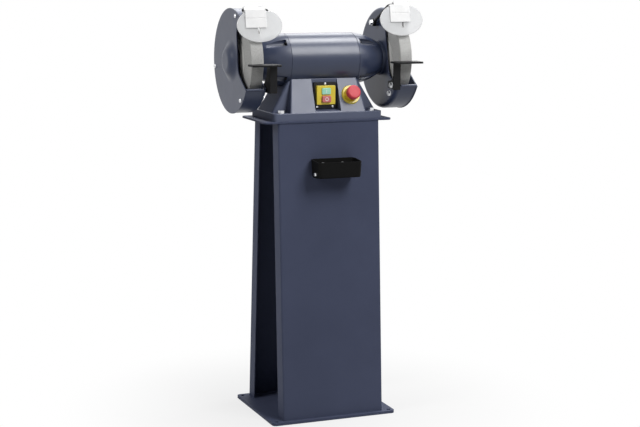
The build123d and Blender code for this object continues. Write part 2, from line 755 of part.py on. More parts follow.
# Motor shell, stator and rotor
BELL_SCREW_R = SHELL_R - SHELL_WALL / 2
with BuildPart() as motor_shell:
    with BuildSketch(spindle_plane(0)):
        Circle(SHELL_R)
        Circle(SHELL_BORE_R, mode=Mode.SUBTRACT)
    extrude(amount=SHELL_END, both=True)
    chamfer(edges().filter_by(GeomType.CIRCLE).sort_by(SortBy.RADIUS)[-2:], SHELL_CHAMFER)
    with BuildSketch(spindle_plane(-SHELL_END), spindle_plane(SHELL_END)):
        with Locations(*[polar(BELL_SCREW_R, angle) for angle in QUARTERS]):
            Circle(BELL_SCREW_D / 2 + FIT)
    extrude(amount=BELL_SCREW_DEPTH, both=True, mode=Mode.SUBTRACT)
    with BuildSketch(Plane.XY.offset(SPINDLE_Z - SHELL_R)):
        with GridLocations(2 * SADDLE_BOLT_X, 0, 2, 1):
            Circle(SADDLE_BOLT_D / 2 + FIT)
    extrude(amount=SADDLE_BOLT_GRIP + BOLT_CLEAR, mode=Mode.SUBTRACT)
save(motor_shell.part, "motor_shell")

STATOR_R = SHELL_BORE_R - FIT
STATOR_BORE_R = STATOR_R - STATOR_WALL
STATOR_END = STATOR_L / 2
save(
    turned(
        [
            (-STATOR_END, STATOR_BORE_R),
            (STATOR_END, STATOR_BORE_R),
            (STATOR_END, STATOR_R),
            (-STATOR_END, STATOR_R),
        ]
    ),
    "stator_core",
)

WINDING_IN_R = STATOR_BORE_R + WINDING_INSET
WINDING_OUT_R = STATOR_R - WINDING_INSET
WINDING_END = STATOR_END + WINDING_L
save(
    both_ends(
        turned(
            [
                (STATOR_END, WINDING_IN_R),
                (WINDING_END - WINDING_INSET, WINDING_IN_R),
                (WINDING_END, WINDING_IN_R + WINDING_INSET),
                (WINDING_END, WINDING_OUT_R - WINDING_INSET),
                (WINDING_END - WINDING_INSET, WINDING_OUT_R),
                (STATOR_END, WINDING_OUT_R),
            ]
        )
    ),
    "stator_windings",
)

ROTOR_R = STATOR_BORE_R - ROTOR_GAP
ROTOR_BORE_R = SHAFT_ROTOR_D / 2 + FIT
save(
    turned(
        [
            (-STATOR_END, ROTOR_BORE_R),
            (STATOR_END, ROTOR_BORE_R),
            (STATOR_END, ROTOR_R),
            (-STATOR_END, ROTOR_R),
        ]
    ),
    "rotor",
)

half_shaft = [
    (STATOR_END, SHAFT_ROTOR_D / 2),
    (STATOR_END, SHAFT_SHOULDER_D / 2),
    (BEARING_IN_X, SHAFT_SHOULDER_D / 2),
    (BEARING_IN_X, BEARING_BORE_D / 2),
    (FLANGE_X, BEARING_BORE_D / 2),
    (FLANGE_X, SHAFT_END_D / 2),
    (SHAFT_END_X, SHAFT_END_D / 2),
    (SHAFT_END_X, 0),
]
save(turned(half_shaft + [(-x, r) for x, r in reversed(half_shaft)]), "spindle")

# Shielded ball bearings, outer race fixed in the bell and inner race on the spindle
INNER_RACE_R = BEARING_BORE_D / 2 + BEARING_RACE_T
SHIELD_BORE_R = INNER_RACE_R + BEARING_GAP
OUTER_RACE_R = BEARING_OD / 2 - FIT
save(
    both_ends(
        turned(
            [
                (BEARING_IN_X, SHIELD_BORE_R),
                (BEARING_IN_X + BEARING_SHIELD_T, SHIELD_BORE_R),
                (BEARING_IN_X + BEARING_SHIELD_T, OUTER_RACE_R - BEARING_RACE_T),
                (BEARING_OUT_X - BEARING_SHIELD_T, OUTER_RACE_R - BEARING_RACE_T),
                (BEARING_OUT_X - BEARING_SHIELD_T, SHIELD_BORE_R),
                (BEARING_OUT_X, SHIELD_BORE_R),
                (BEARING_OUT_X, OUTER_RACE_R),
                (BEARING_IN_X, OUTER_RACE_R),
            ]
        )
    ),
    "bearing_outer_races",
)
save(
    both_ends(
        turned(
            [
                (BEARING_IN_X, BEARING_BORE_D / 2 + FIT),
                (BEARING_OUT_X, BEARING_BORE_D / 2 + FIT),
                (BEARING_OUT_X, INNER_RACE_R),
                (BEARING_IN_X, INNER_RACE_R),
            ]
        )
    ),
    "bearing_inner_races",
)

# End bells: turned shells with four fluted screw pockets on the shoulder
NECK_R = BELL_NECK_D / 2
COLLAR_R = BELL_COLLAR_D / 2
NECK_X = BEARING_IN_X - BELL_LEAD
COLLAR_X = PLATE_X - BELL_COLLAR_L
TAPER_L = COLLAR_X - SHELL_END
SPIGOT_R = SHELL_BORE_R - FIT
CAVITY_R = SPIGOT_R - BELL_SPIGOT_WALL
BOSS_R = BELL_BOSS_D / 2
SHAFT_HOLE_R = BEARING_BORE_D / 2 + SHAFT_GAP
SCREW_SEAT_X = SHELL_END + BELL_SCREW_GRIP
FLUTE_AXIS_R = BELL_SCREW_R + FLUTE_RISE
GUARD_SCREW_R = (REGISTER_D / 2 + COLLAR_R) / 2
GUARD_SCREW_HEAD_D = GUARD_SCREW_D + 2 * (GUARD_PLATE_T - BOLT_CLEAR)

with BuildPart() as right_end_bell:
    with BuildSketch(SPINDLE_SECTION):
        with BuildLine():
            shoulder = Spline(
                (SHELL_END, SHELL_R),
                (SHELL_END + TAPER_L * BELL_CREST_X, NECK_R + (SHELL_R - NECK_R) * BELL_CREST_R),
                (COLLAR_X, NECK_R),
            )
            Polyline(
                shoulder @ 1,
                (COLLAR_X, COLLAR_R),
                (PLATE_X, COLLAR_R),
                (PLATE_X, REGISTER_D / 2 - FIT),
                (PLATE_OUT_X, REGISTER_D / 2 - FIT),
                (PLATE_OUT_X, SHAFT_HOLE_R),
                (BEARING_OUT_X, SHAFT_HOLE_R),
                (BEARING_OUT_X, BEARING_OD / 2),
                (BEARING_IN_X, BEARING_OD / 2),
                (BEARING_IN_X, BOSS_R),
                (NECK_X, BOSS_R),
                (SCREW_SEAT_X, CAVITY_R),
                (SHELL_END - BELL_SPIGOT_L, CAVITY_R),
                (SHELL_END - BELL_SPIGOT_L, SPIGOT_R),
                (SHELL_END, SPIGOT_R),
                shoulder @ 0,
            )
        make_face()
    revolve(axis=SPINDLE)
    with BuildSketch(spindle_plane(SCREW_SEAT_X)):
        with Locations(*[polar(FLUTE_AXIS_R, angle) for angle in QUARTERS]):
            Circle(FLUTE_R)
    extrude(amount=COLLAR_X - SCREW_SEAT_X, mode=Mode.SUBTRACT)
    with BuildSketch(spindle_plane(SHELL_END)):
        with Locations(*[polar(BELL_SCREW_R, angle) for angle in QUARTERS]):
            Circle(BELL_SCREW_D / 2 + BOLT_CLEAR)
    extrude(amount=BELL_SCREW_GRIP, mode=Mode.SUBTRACT)
    with BuildSketch(spindle_plane(PLATE_X)):
        with Locations(*[polar(GUARD_SCREW_R, angle) for angle in QUARTERS]):
            Circle(GUARD_SCREW_D / 2 + FIT)
    extrude(amount=GUARD_PLATE_T - GUARD_SCREW_L - BOLT_CLEAR, mode=Mode.SUBTRACT)
    for angle in QUARTERS:
        across = polar(1, angle)
        root = polar(FLUTE_AXIS_R, angle)
        lean = radians(FLUTE_TILT)
        along = Vector(cos(lean), -sin(lean) * across[0], -sin(lean) * across[1])
        flute = Plane(origin=(SCREW_SEAT_X, root[0], SPINDLE_Z + root[1]), z_dir=along)
        with BuildSketch(flute):
            Circle(FLUTE_R)
        extrude(amount=COLLAR_X - SCREW_SEAT_X, mode=Mode.SUBTRACT)
save(right_end_bell.part, "right_end_bell")
save_mirrored(right_end_bell.part, "left_end_bell")

bell_screw_places = [
    Plane(origin=(SCREW_SEAT_X, y, SPINDLE_Z + z), x_dir=(0, 1, 0), z_dir=(1, 0, 0))
    for y, z in [polar(BELL_SCREW_R, angle) for angle in QUARTERS]
]
BELL_SCREW_L = BELL_SCREW_GRIP + BELL_SCREW_DEPTH - BOLT_CLEAR
save(
    both_ends(
        pan_screws(bell_screw_places, BELL_SCREW_D, BELL_SCREW_L, BELL_SCREW_HEAD_D, BELL_SCREW_HEAD_H)
    ),
    "bell_screws",
)

# Wheels with their flanges, paper blotters and nuts
SHAFT_FIT_R = SHAFT_END_D / 2 + FIT
SPIGOT_WHEEL_R = WHEEL_BORE / 2 - FIT
with BuildPart() as right_wheel:
    with BuildSketch(spindle_plane(WHEEL_IN_X)):
        Circle(WHEEL_R)
        Circle(WHEEL_BORE / 2, mode=Mode.SUBTRACT)
    extrude(amount=WHEEL_T)
    chamfer(edges().filter_by(GeomType.CIRCLE).sort_by(SortBy.RADIUS)[-2:], WHEEL_EDGE_R)
save(right_wheel.part, "right_wheel")
save_mirrored(right_wheel.part, "left_wheel")

save(
    both_ends(
        turned(
            [
                (FLANGE_X, SHAFT_FIT_R),
                (WHEEL_OUT_X, SHAFT_FIT_R),
                (WHEEL_OUT_X, SPIGOT_WHEEL_R),
                (FLANGE_X + FLANGE_T, SPIGOT_WHEEL_R),
                (FLANGE_X + FLANGE_T, FLANGE_D / 2),
                (FLANGE_X, FLANGE_D / 2),
            ]
        )
    ),
    "inner_flanges",
)
save(
    both_ends(
        turned(
            [
                (NUT_X - FLANGE_T, SHAFT_FIT_R),
                (NUT_X, SHAFT_FIT_R),
                (NUT_X, FLANGE_D / 2 - FLANGE_T),
                (NUT_X - FLANGE_T / 2, FLANGE_D / 2),
                (NUT_X - FLANGE_T, FLANGE_D / 2),
            ]
        )
    ),
    "outer_flanges",
)

with BuildPart() as right_blotters:
    with BuildSketch(spindle_plane(WHEEL_IN_X - BLOTTER_T), spindle_plane(WHEEL_OUT_X)):
        Circle(BLOTTER_D / 2)
        Circle(WHEEL_BORE / 2, mode=Mode.SUBTRACT)
    extrude(amount=BLOTTER_T)
save(both_ends(right_blotters.part), "wheel_blotters")

with BuildPart() as right_nut:
    with BuildSketch(spindle_plane(NUT_X)):
        RegularPolygon(NUT_AF / 2, 6, major_radius=False)
        Circle(SHAFT_FIT_R, mode=Mode.SUBTRACT)
    extrude(amount=NUT_H)
save(both_ends(right_nut.part), "spindle_nuts")


# Wheel guards: cast plate and band, open in front of the wheel, with a bolted cover
def front_opening(top_inset, top_deg, low_inset, low_deg):
    """Area cut away in front of the wheel, in spindle plane axes."""
    upper = polar(GUARD_R - top_inset, top_deg)
    lower = polar(GUARD_R - low_inset, low_deg)
    top_end = polar(GUARD_R, OPEN_TOP_DEG)
    lip_end = polar(GUARD_R, OPEN_LIP_DEG)
    far = 2 * GUARD_R
    with BuildSketch() as opening:
        with BuildLine():
            FilletPolyline(top_end, upper, lower, lip_end, radius=CUT_CORNER_R)
            Polyline(
                lip_end,
                polar(far, OPEN_LIP_DEG),
                polar(far, (OPEN_TOP_DEG + OPEN_LIP_DEG) / 2),
                polar(far, OPEN_TOP_DEG),
                top_end,
            )
        make_face()
    return opening.sketch


def opening_sector():
    """Sector between the two ends of the guard band."""
    far = 2 * GUARD_R
    with BuildSketch() as sector:
        with BuildLine():
            Polyline(
                (0, 0),
                polar(far, OPEN_LIP_DEG),
                polar(far, (OPEN_TOP_DEG + OPEN_LIP_DEG) / 2),
                polar(far, OPEN_TOP_DEG),
                close=True,
            )
        make_face()
    return sector.sketch


BAND_R = GUARD_R - GUARD_WALL
LUG_R = BAND_R + LUG_SINK - LUG_D / 2
ARM_X = PLATE_X - ARM_GAP
EYE_X = ARM_X + EYE_T / 2
TAB_POINT = polar(GUARD_R, OPEN_TOP_DEG)
GUARD_MID_X = (PLATE_OUT_X + COVER_X) / 2
ARRESTER_W = COVER_X - PLATE_OUT_X - 2 * ARRESTER_SIDE_GAP
TAB_W = ARRESTER_W - 2 * TAB_INSET
TAB = Plane(
    origin=(GUARD_MID_X, TAB_POINT[0], SPINDLE_Z + TAB_POINT[1]),
    x_dir=(1, 0, 0),
    z_dir=(0, -sin(radians(OPEN_TOP_DEG)), -cos(radians(OPEN_TOP_DEG))),
)
cover_screw_points = [
    polar(LUG_R, OPEN_TOP_DEG + COVER_SCREW_LEAD_DEG + turn) for turn in THIRDS
]
guard_screw_points = [polar(GUARD_SCREW_R, angle) for angle in QUARTERS]
REST_BOLT_POINT = polar(GUARD_R - REST_BOLT_INSET, OPEN_LIP_DEG - REST_BOLT_BELOW_DEG)
BRACKET_BOTTOM = REST_BOLT_POINT[1] - BRACKET_FOOT_H / 2
LOWER_BOLT_Z = BRACKET_BOTTOM - LOWER_BOLT_GAP - REST_WASHER_D / 2
LOWER_BOLT_POINT = (-sqrt((GUARD_R - LOWER_BOLT_INSET) ** 2 - LOWER_BOLT_Z**2), LOWER_BOLT_Z)
PIVOT_POINT = polar(GUARD_R - PIVOT_INSET, PIVOT_DEG)

plate_opening = front_opening(
    PLATE_CUT_TOP_INSET, PLATE_CUT_TOP_DEG, PLATE_CUT_LOW_INSET, PLATE_CUT_LOW_DEG
)
cover_opening = front_opening(
    COVER_CUT_TOP_INSET, COVER_CUT_TOP_DEG, COVER_CUT_LOW_INSET, COVER_CUT_LOW_DEG
)

GUARD_CORNER_R = GUARD_EDGE_R - GUARD_WALL
with BuildPart() as right_guard:
    with BuildSketch(SPINDLE_SECTION):
        with BuildLine():
            outer_edge = TangentArc(
                (PLATE_X, GUARD_R - GUARD_EDGE_R), (PLATE_X + GUARD_EDGE_R, GUARD_R), tangent=(0, 1)
            )
            inner_corner = TangentArc(
                (PLATE_OUT_X, BAND_R - GUARD_CORNER_R),
                (PLATE_OUT_X + GUARD_CORNER_R, BAND_R),
                tangent=(0, 1),
            )
            Polyline(outer_edge @ 1, (COVER_X, GUARD_R), (COVER_X, BAND_R), inner_corner @ 1)
            Polyline(
                inner_corner @ 0,
                (PLATE_OUT_X, REGISTER_D / 2),
                (PLATE_X, REGISTER_D / 2),
                outer_edge @ 0,
            )
        make_face()
    revolve(axis=SPINDLE)
    with BuildSketch(spindle_plane(PLATE_X)):
        add(plate_opening)
    extrude(amount=GUARD_PLATE_T, mode=Mode.SUBTRACT)
    with BuildSketch(spindle_plane(PLATE_OUT_X)):
        add(opening_sector())
    extrude(amount=COVER_X - PLATE_OUT_X, mode=Mode.SUBTRACT)
    with BuildSketch(spindle_plane(PLATE_X + GUARD_EDGE_R)):
        with Locations(polar(GUARD_R - GUARD_WALL / 2, OPEN_LIP_DEG)):
            Circle(LIP_BEAD_D / 2)
    extrude(amount=COVER_X - PLATE_X - GUARD_EDGE_R)
    with BuildSketch(spindle_plane(COVER_X)):
        with Locations(*cover_screw_points):
            Circle(LUG_D / 2)
    extrude(amount=-LUG_L)
    with BuildSketch(TAB):
        with Locations((0, (TAB_H - GUARD_WALL) / 2)):
            Rectangle(TAB_W, TAB_H + GUARD_WALL)
        with Locations((0, ARRESTER_SCREW_UP)):
            Circle(ARRESTER_SCREW_D / 2 + FIT, mode=Mode.SUBTRACT)
    extrude(amount=-TAB_T)
    with BuildSketch(spindle_plane(PLATE_X)):
        with Locations(PIVOT_POINT):
            Circle(EYE_D / 2)
    extrude(amount=-(PLATE_X - EYE_X - SLIDE_CLEAR))
    with BuildSketch(spindle_plane(COVER_X)):
        with Locations(*cover_screw_points):
            Circle(COVER_SCREW_D / 2 + FIT)
    extrude(amount=-COVER_SCREW_L, mode=Mode.SUBTRACT)
    with BuildSketch(spindle_plane(PLATE_OUT_X)):
        with Locations(REST_BOLT_POINT, LOWER_BOLT_POINT):
            Circle(REST_BOLT_D / 2 + FIT)
        with Locations(PIVOT_POINT):
            Circle(PIVOT_BOLT_D / 2 + FIT)
    extrude(amount=-2 * ARM_GAP, mode=Mode.SUBTRACT)
    with Locations(spindle_plane(PLATE_OUT_X)):
        with Locations(*guard_screw_points):
            CounterSinkHole(
                GUARD_SCREW_D / 2 + FIT, GUARD_SCREW_HEAD_D / 2 + FIT, 2 * GUARD_PLATE_T, COUNTERSINK_DEG
            )
save(right_guard.part, "right_guard")
save_mirrored(right_guard.part, "left_guard")

with BuildPart() as right_guard_screws:
    for y, z in guard_screw_points:
        seat = Plane(origin=(PLATE_OUT_X, y, SPINDLE_Z + z), x_dir=(0, 1, 0), z_dir=(1, 0, 0))
        with BuildSketch(seat):
            Circle(GUARD_SCREW_D / 2)
        extrude(amount=-GUARD_SCREW_L)
        with BuildSketch(seat):
            Circle(GUARD_SCREW_HEAD_D / 2)
        extrude(amount=-(GUARD_SCREW_HEAD_D - GUARD_SCREW_D) / 2, taper=COUNTERSINK_DEG / 2)
save(both_ends(right_guard_screws.part), "guard_screws")

# Guard covers: pressed sheet with a dome over the spindle nut
DOME_H = SHAFT_END_X + DOME_CLEAR - COVER_X


def dome_curve(x):
    """Soft slope of the dome from the flat of the cover to the top, starting at x."""
    inwards = (0, -1)
    return Spline(
        (x, DOME_BASE_D / 2), (x + DOME_H, DOME_TOP_D / 2), tangents=[inwards, inwards]
    )


with BuildPart() as right_guard_cover:
    with BuildSketch(SPINDLE_SECTION):
        with BuildLine():
            inside = dome_curve(COVER_X)
            outside = dome_curve(COVER_X + COVER_T)
            Polyline(
                inside @ 0,
                (COVER_X, GUARD_R + COVER_LIP),
                (COVER_X + COVER_T, GUARD_R + COVER_LIP),
                outside @ 0,
            )
            Polyline(inside @ 1, (COVER_X + DOME_H, 0), (COVER_X + COVER_T + DOME_H, 0), outside @ 1)
        make_face()
    revolve(axis=SPINDLE)
    with BuildSketch(spindle_plane(COVER_X)):
        add(cover_opening)
        with Locations(*cover_screw_points):
            Circle(COVER_SCREW_D / 2 + FIT)
    extrude(amount=DOME_H + 2 * COVER_T, mode=Mode.SUBTRACT)
save(right_guard_cover.part, "right_guard_cover")
save_mirrored(right_guard_cover.part, "left_guard_cover")

cover_screw_places = [
    Plane(origin=(COVER_X + COVER_T, y, SPINDLE_Z + z), x_dir=(0, 1, 0), z_dir=(1, 0, 0))
    for y, z in cover_screw_points
]
save(
    both_ends(
        pan_screws(
            cover_screw_places, COVER_SCREW_D, COVER_SCREW_L, COVER_SCREW_HEAD_D, COVER_SCREW_HEAD_H
        )
    ),
    "cover_screws",
)

# Spark arresters: slotted plates on the tab at the top of the guard opening
ARRESTER_DEPTH = GUARD_R - WHEEL_R - ARRESTER_WHEEL_GAP
ARRESTER_SLOT_L = ARRESTER_IN + ARRESTER_OUT
ARRESTER_SLOT_UP = ARRESTER_SCREW_UP + (ARRESTER_IN - ARRESTER_OUT) / 2
with BuildPart() as right_spark_arrester:
    with BuildSketch(TAB.offset(SLIDE_CLEAR)):
        with Locations((0, (TAB_H - ARRESTER_DEPTH) / 2)):
            Rectangle(ARRESTER_W, TAB_H + ARRESTER_DEPTH)
        with Locations((0, ARRESTER_SLOT_UP)):
            SlotCenterToCenter(
                ARRESTER_SLOT_L, ARRESTER_SCREW_D + 2 * SLIDE_CLEAR, rotation=90, mode=Mode.SUBTRACT
            )
    extrude(amount=ARRESTER_T)
save(right_spark_arrester.part, "right_spark_arrester")
save_mirrored(right_spark_arrester.part, "left_spark_arrester")

arrester_seat = TAB.offset(ARRESTER_T + 2 * SLIDE_CLEAR)
arrester_screw_place = Plane(
    origin=arrester_seat.from_local_coords((0, ARRESTER_SCREW_UP, 0)), x_dir=(1, 0, 0), z_dir=TAB.z_dir
)
ARRESTER_SCREW_L = ARRESTER_T + 2 * SLIDE_CLEAR + TAB_T
save(
    both_ends(
        pan_screws(
            [arrester_screw_place],
            ARRESTER_SCREW_D,
            ARRESTER_SCREW_L,
            ARRESTER_SCREW_HEAD_D,
            ARRESTER_SCREW_HEAD_H,
        )
    ),
    "arrester_screws",
)

# Tool rests: a plate on a slotted side bracket that slides towards the wheel
REST_BACK = -(WHEEL_R + REST_WHEEL_GAP)
REST_TOP = -REST_DROP
REST_X = PLATE_X - BRACKET_T - REST_OVERHANG
REST_W = COVER_X - REST_COVER_GAP - REST_X
with BuildPart() as right_tool_rest:
    with BuildSketch(Plane.XY.offset(SPINDLE_Z + REST_TOP - REST_T)):
        with Locations((REST_X + REST_W / 2, REST_BACK - REST_D / 2)):
            RectangleRounded(REST_W, REST_D, REST_CORNER_R)
    extrude(amount=REST_T)
save(right_tool_rest.part, "right_tool_rest")
save_mirrored(right_tool_rest.part, "left_tool_rest")

BRACKET_TOP = REST_TOP - REST_T
BRACKET_FRONT = REST_BACK - BRACKET_SETBACK
BRACKET_REAR = REST_BOLT_POINT[0] + REST_OUT + REST_BOLT_D / 2 + BRACKET_EDGE
BRACKET_FOOT_TOP = REST_BOLT_POINT[1] + BRACKET_FOOT_H / 2
BRACKET_IN_X = PLATE_X - SLIDE_CLEAR - BRACKET_T
with BuildPart() as right_rest_bracket:
    with BuildSketch(spindle_plane(BRACKET_IN_X)):
        with BuildLine():
            Polyline(
                (BRACKET_REAR, BRACKET_FOOT_TOP),
                (BRACKET_REAR, BRACKET_BOTTOM),
                (BRACKET_FRONT, BRACKET_BOTTOM),
                (BRACKET_FRONT, BRACKET_TOP),
                (BRACKET_FRONT + BRACKET_LEG_W, BRACKET_TOP),
            )
            Spline(
                (BRACKET_FRONT + BRACKET_LEG_W, BRACKET_TOP),
                (BRACKET_REAR, BRACKET_FOOT_TOP),
                tangents=[(0, -1), (1, 0)],
            )
        make_face()
        with Locations((REST_BOLT_POINT[0] + (REST_OUT - REST_IN) / 2, REST_BOLT_POINT[1])):
            SlotCenterToCenter(REST_IN + REST_OUT, REST_BOLT_D + 2 * SLIDE_CLEAR, mode=Mode.SUBTRACT)
    extrude(amount=BRACKET_T)
    with BuildSketch(spindle_plane(BRACKET_IN_X)):
        with Locations((BRACKET_FRONT + BRACKET_T / 2, (BRACKET_TOP + BRACKET_BOTTOM) / 2)):
            Rectangle(BRACKET_T, BRACKET_TOP - BRACKET_BOTTOM)
    extrude(amount=-BRACKET_FLANGE_W)
save(right_rest_bracket.part, "right_rest_bracket")
save_mirrored(right_rest_bracket.part, "left_rest_bracket")


def side_plane(x, point):
    """Plane at a point of a spindle plane, facing back towards the motor."""
    return Plane(origin=(x, point[0], SPINDLE_Z + point[1]), x_dir=(0, -1, 0), z_dir=(-1, 0, 0))


with BuildPart() as right_rest_bolts:
    add(
        hex_bolts(
            [side_plane(BRACKET_IN_X - SLIDE_CLEAR, REST_BOLT_POINT)],
            REST_BOLT_D,
            BRACKET_T + 2 * SLIDE_CLEAR + GUARD_PLATE_T,
            REST_BOLT_AF,
            REST_BOLT_HEAD_H,
            REST_WASHER_D,
            REST_WASHER_T,
        )
    )
    add(
        hex_bolts(
            [side_plane(PLATE_X, LOWER_BOLT_POINT)],
            REST_BOLT_D,
            GUARD_PLATE_T,
            REST_BOLT_AF,
            REST_BOLT_HEAD_H,
            REST_WASHER_D,
            REST_WASHER_T,
        )
    )
save(both_ends(right_rest_bolts.part), "rest_bolts")

# Eye shields: a bent rod arm pivots on the guard and carries a tilting holder
ROD_OUT = TAB_H + ARRESTER_OUT + ROD_MARGIN + HOLDER_HUB_D / 2
ROD_POINT = polar(GUARD_R + ROD_OUT, OPEN_TOP_DEG - ROD_LEAD_DEG)
ARM_L = hypot(ROD_POINT[0] - PIVOT_POINT[0], ROD_POINT[1] - PIVOT_POINT[1])
ARM_DEG = degrees(atan2(ROD_POINT[1] - PIVOT_POINT[1], PIVOT_POINT[0] - ROD_POINT[0]))
HOLDER_X = ARM_X + ROD_D / 2
HUB_X = ARM_X + ROD_BEND_R + HOLDER_BEND_GAP
SHIELD_X = HOLDER_X + HOLDER_W / 2 - SHIELD_SHIFT


def holder_end(shift):
    """Outer end of a holder that is shifted along its rod."""
    return HOLDER_X + shift + HOLDER_W


def rod_centre(swing):
    """Where the cross run of the rod lies when its arm is swung by an angle."""
    angle = radians(ARM_DEG + swing)
    return (PIVOT_POINT[0] - ARM_L * cos(angle), PIVOT_POINT[1] + ARM_L * sin(angle))


def shield_arm(swing, shift):
    """Pivot eye and bent round rod in one piece."""
    rod_end = holder_end(shift) + BOLT_TAIL
    corner = rod_centre(swing)
    angle = radians(ARM_DEG + swing)
    bend = Plane(
        origin=(ARM_X, corner[0], SPINDLE_Z + corner[1]),
        x_dir=(0, cos(angle), -sin(angle)),
        z_dir=(0, -sin(angle), -cos(angle)),
    )
    with BuildPart() as arm:
        with BuildLine(bend) as path:
            FilletPolyline(
                (ARM_L - EYE_D / 4, 0), (0, 0), (0, rod_end - ARM_X), radius=ROD_BEND_R
            )
        with BuildSketch(Plane(origin=path.line @ 0, z_dir=path.line % 0)):
            Circle(ROD_D / 2)
        sweep(path=path.line)
        with BuildSketch(spindle_plane(ARM_X)):
            with Locations(PIVOT_POINT):
                Circle(EYE_D / 2)
        extrude(amount=EYE_T / 2, both=True)
        with BuildSketch(spindle_plane(ARM_X)):
            with Locations(PIVOT_POINT):
                Circle(PIVOT_BOLT_D / 2 + PIVOT_FIT)
        extrude(amount=ROD_D, both=True, mode=Mode.SUBTRACT)
    return arm.part


def holder_plane(x, swing):
    """Section plane of a holder, with axes forward from the rod and down along the shield."""
    corner = rod_centre(swing)
    tilt = radians(SHIELD_TILT)
    return Plane(
        origin=(x, corner[0], SPINDLE_Z + corner[1]), x_dir=(0, -cos(tilt), sin(tilt)), z_dir=(1, 0, 0)
    )


SLOT_W = SHIELD_T + 2 * SHIELD_FIT
LEG_BACK = SHIELD_FORWARD - SLOT_W / 2 - HOLDER_LEG_T
LEG_FRONT = SHIELD_FORWARD + SLOT_W / 2 + HOLDER_LEG_T


def shield_holder(swing, shift):
    """Extruded clip with a bored hub for the rod and a slot for the shield."""
    with BuildPart() as holder:
        with BuildSketch(holder_plane(HOLDER_X + shift, swing)):
            with Locations(((LEG_BACK + LEG_FRONT) / 2, HOLDER_LEG_L / 2)):
                Rectangle(LEG_FRONT - LEG_BACK, HOLDER_LEG_L)
            with Locations((SHIELD_FORWARD, (HOLDER_LEG_L + HOLDER_ROOF) / 2)):
                Rectangle(SLOT_W, HOLDER_LEG_L - HOLDER_ROOF, mode=Mode.SUBTRACT)
            with Locations((LEG_FRONT, HOLDER_LEG_L - HOLDER_GROOVE_UP)):
                Rectangle(2 * HOLDER_GROOVE_T, HOLDER_GROOVE_W, mode=Mode.SUBTRACT)
        extrude(amount=HOLDER_W)
        with BuildSketch(holder_plane(HUB_X, swing)):
            Circle(HOLDER_HUB_D / 2)
            with Locations((0, -HOLDER_HUB_D / 4)):
                Rectangle(THUMB_HEAD_D, HOLDER_HUB_D / 2)
            with Locations((LEG_FRONT / 2, HOLDER_ROOF / 2)):
                Rectangle(LEG_FRONT, HOLDER_ROOF)
        extrude(amount=holder_end(shift) - HUB_X)
        with BuildSketch(holder_plane(HUB_X, swing)):
            Circle(ROD_D / 2 + ROD_FIT)
        extrude(amount=HOLDER_W, mode=Mode.SUBTRACT)
        with BuildSketch(*thumb_places(swing, shift)):
            Circle(THUMB_D / 2 + FIT)
        extrude(amount=-HOLDER_HUB_D / 2, mode=Mode.SUBTRACT)
    return holder.part


def thumb_places(swing, shift):
    """Planes on top of the hub, one for each thumbscrew, square to the shield."""
    section = holder_plane(0, swing)
    edge = THUMB_HEAD_D / 2 + THUMB_EDGE
    return [
        Plane(
            origin=section.from_local_coords((0, -HOLDER_HUB_D / 2, x)),
            x_dir=(1, 0, 0),
            z_dir=-section.y_dir,
        )
        for x in (HUB_X + edge, holder_end(shift) - edge)
    ]


def thumbscrews(swing, shift):
    """Two round-headed screws that clamp the holder on the rod."""
    shank = HOLDER_HUB_D / 2 - ROD_D / 2 - ROD_FIT
    return pan_screws(thumb_places(swing, shift), THUMB_D, shank, THUMB_HEAD_D, THUMB_HEAD_H)


def eye_shield(swing):
    """Clear oval plate with its top cut straight, and a height slot."""
    section = holder_plane(SHIELD_X, swing)
    face = Plane(
        origin=section.from_local_coords((SHIELD_FORWARD - SHIELD_T / 2, HOLDER_ROOF + SHIELD_FIT, 0)),
        x_dir=(1, 0, 0),
        z_dir=section.x_dir,
    )
    with BuildPart() as shield:
        with BuildSketch(face):
            with Locations((0, SHIELD_TRIM - SHIELD_HALF_H)):
                Ellipse(SHIELD_W / 2, SHIELD_HALF_H)
            with Locations((0, SHIELD_HALF_H)):
                Rectangle(SHIELD_W, 2 * SHIELD_HALF_H, mode=Mode.SUBTRACT)
            with Locations((SHIELD_SHIFT, -SHIELD_SLOT_DROP - SHIELD_SLOT_L / 2)):
                SlotOverall(SHIELD_SLOT_L, SHIELD_SLOT_W, rotation=90, mode=Mode.SUBTRACT)
        extrude(amount=SHIELD_T)
    return shield.part


save(shield_arm(RIGHT_SWING, RIGHT_SHIFT), "right_shield_arm")
save_mirrored(shield_arm(LEFT_SWING, LEFT_SHIFT), "left_shield_arm")
save(shield_holder(RIGHT_SWING, RIGHT_SHIFT), "right_shield_holder")
save_mirrored(shield_holder(LEFT_SWING, LEFT_SHIFT), "left_shield_holder")
save(thumbscrews(RIGHT_SWING, RIGHT_SHIFT), "right_thumbscrews")
save_mirrored(thumbscrews(LEFT_SWING, LEFT_SHIFT), "left_thumbscrews")
save(eye_shield(RIGHT_SWING), "right_eye_shield")
save_mirrored(eye_shield(LEFT_SWING), "left_eye_shield")

PIVOT_SEAT_X = ARM_X - EYE_T / 2 - SLIDE_CLEAR
save(
    both_ends(
        hex_bolts(
            [side_plane(PIVOT_SEAT_X, PIVOT_POINT)],
            PIVOT_BOLT_D,
            PLATE_OUT_X - PIVOT_SEAT_X,
            PIVOT_BOLT_AF,
            PIVOT_BOLT_HEAD_H,
            REST_WASHER_D,
            REST_WASHER_T,
        )
    ),
    "pivot_bolts",
)

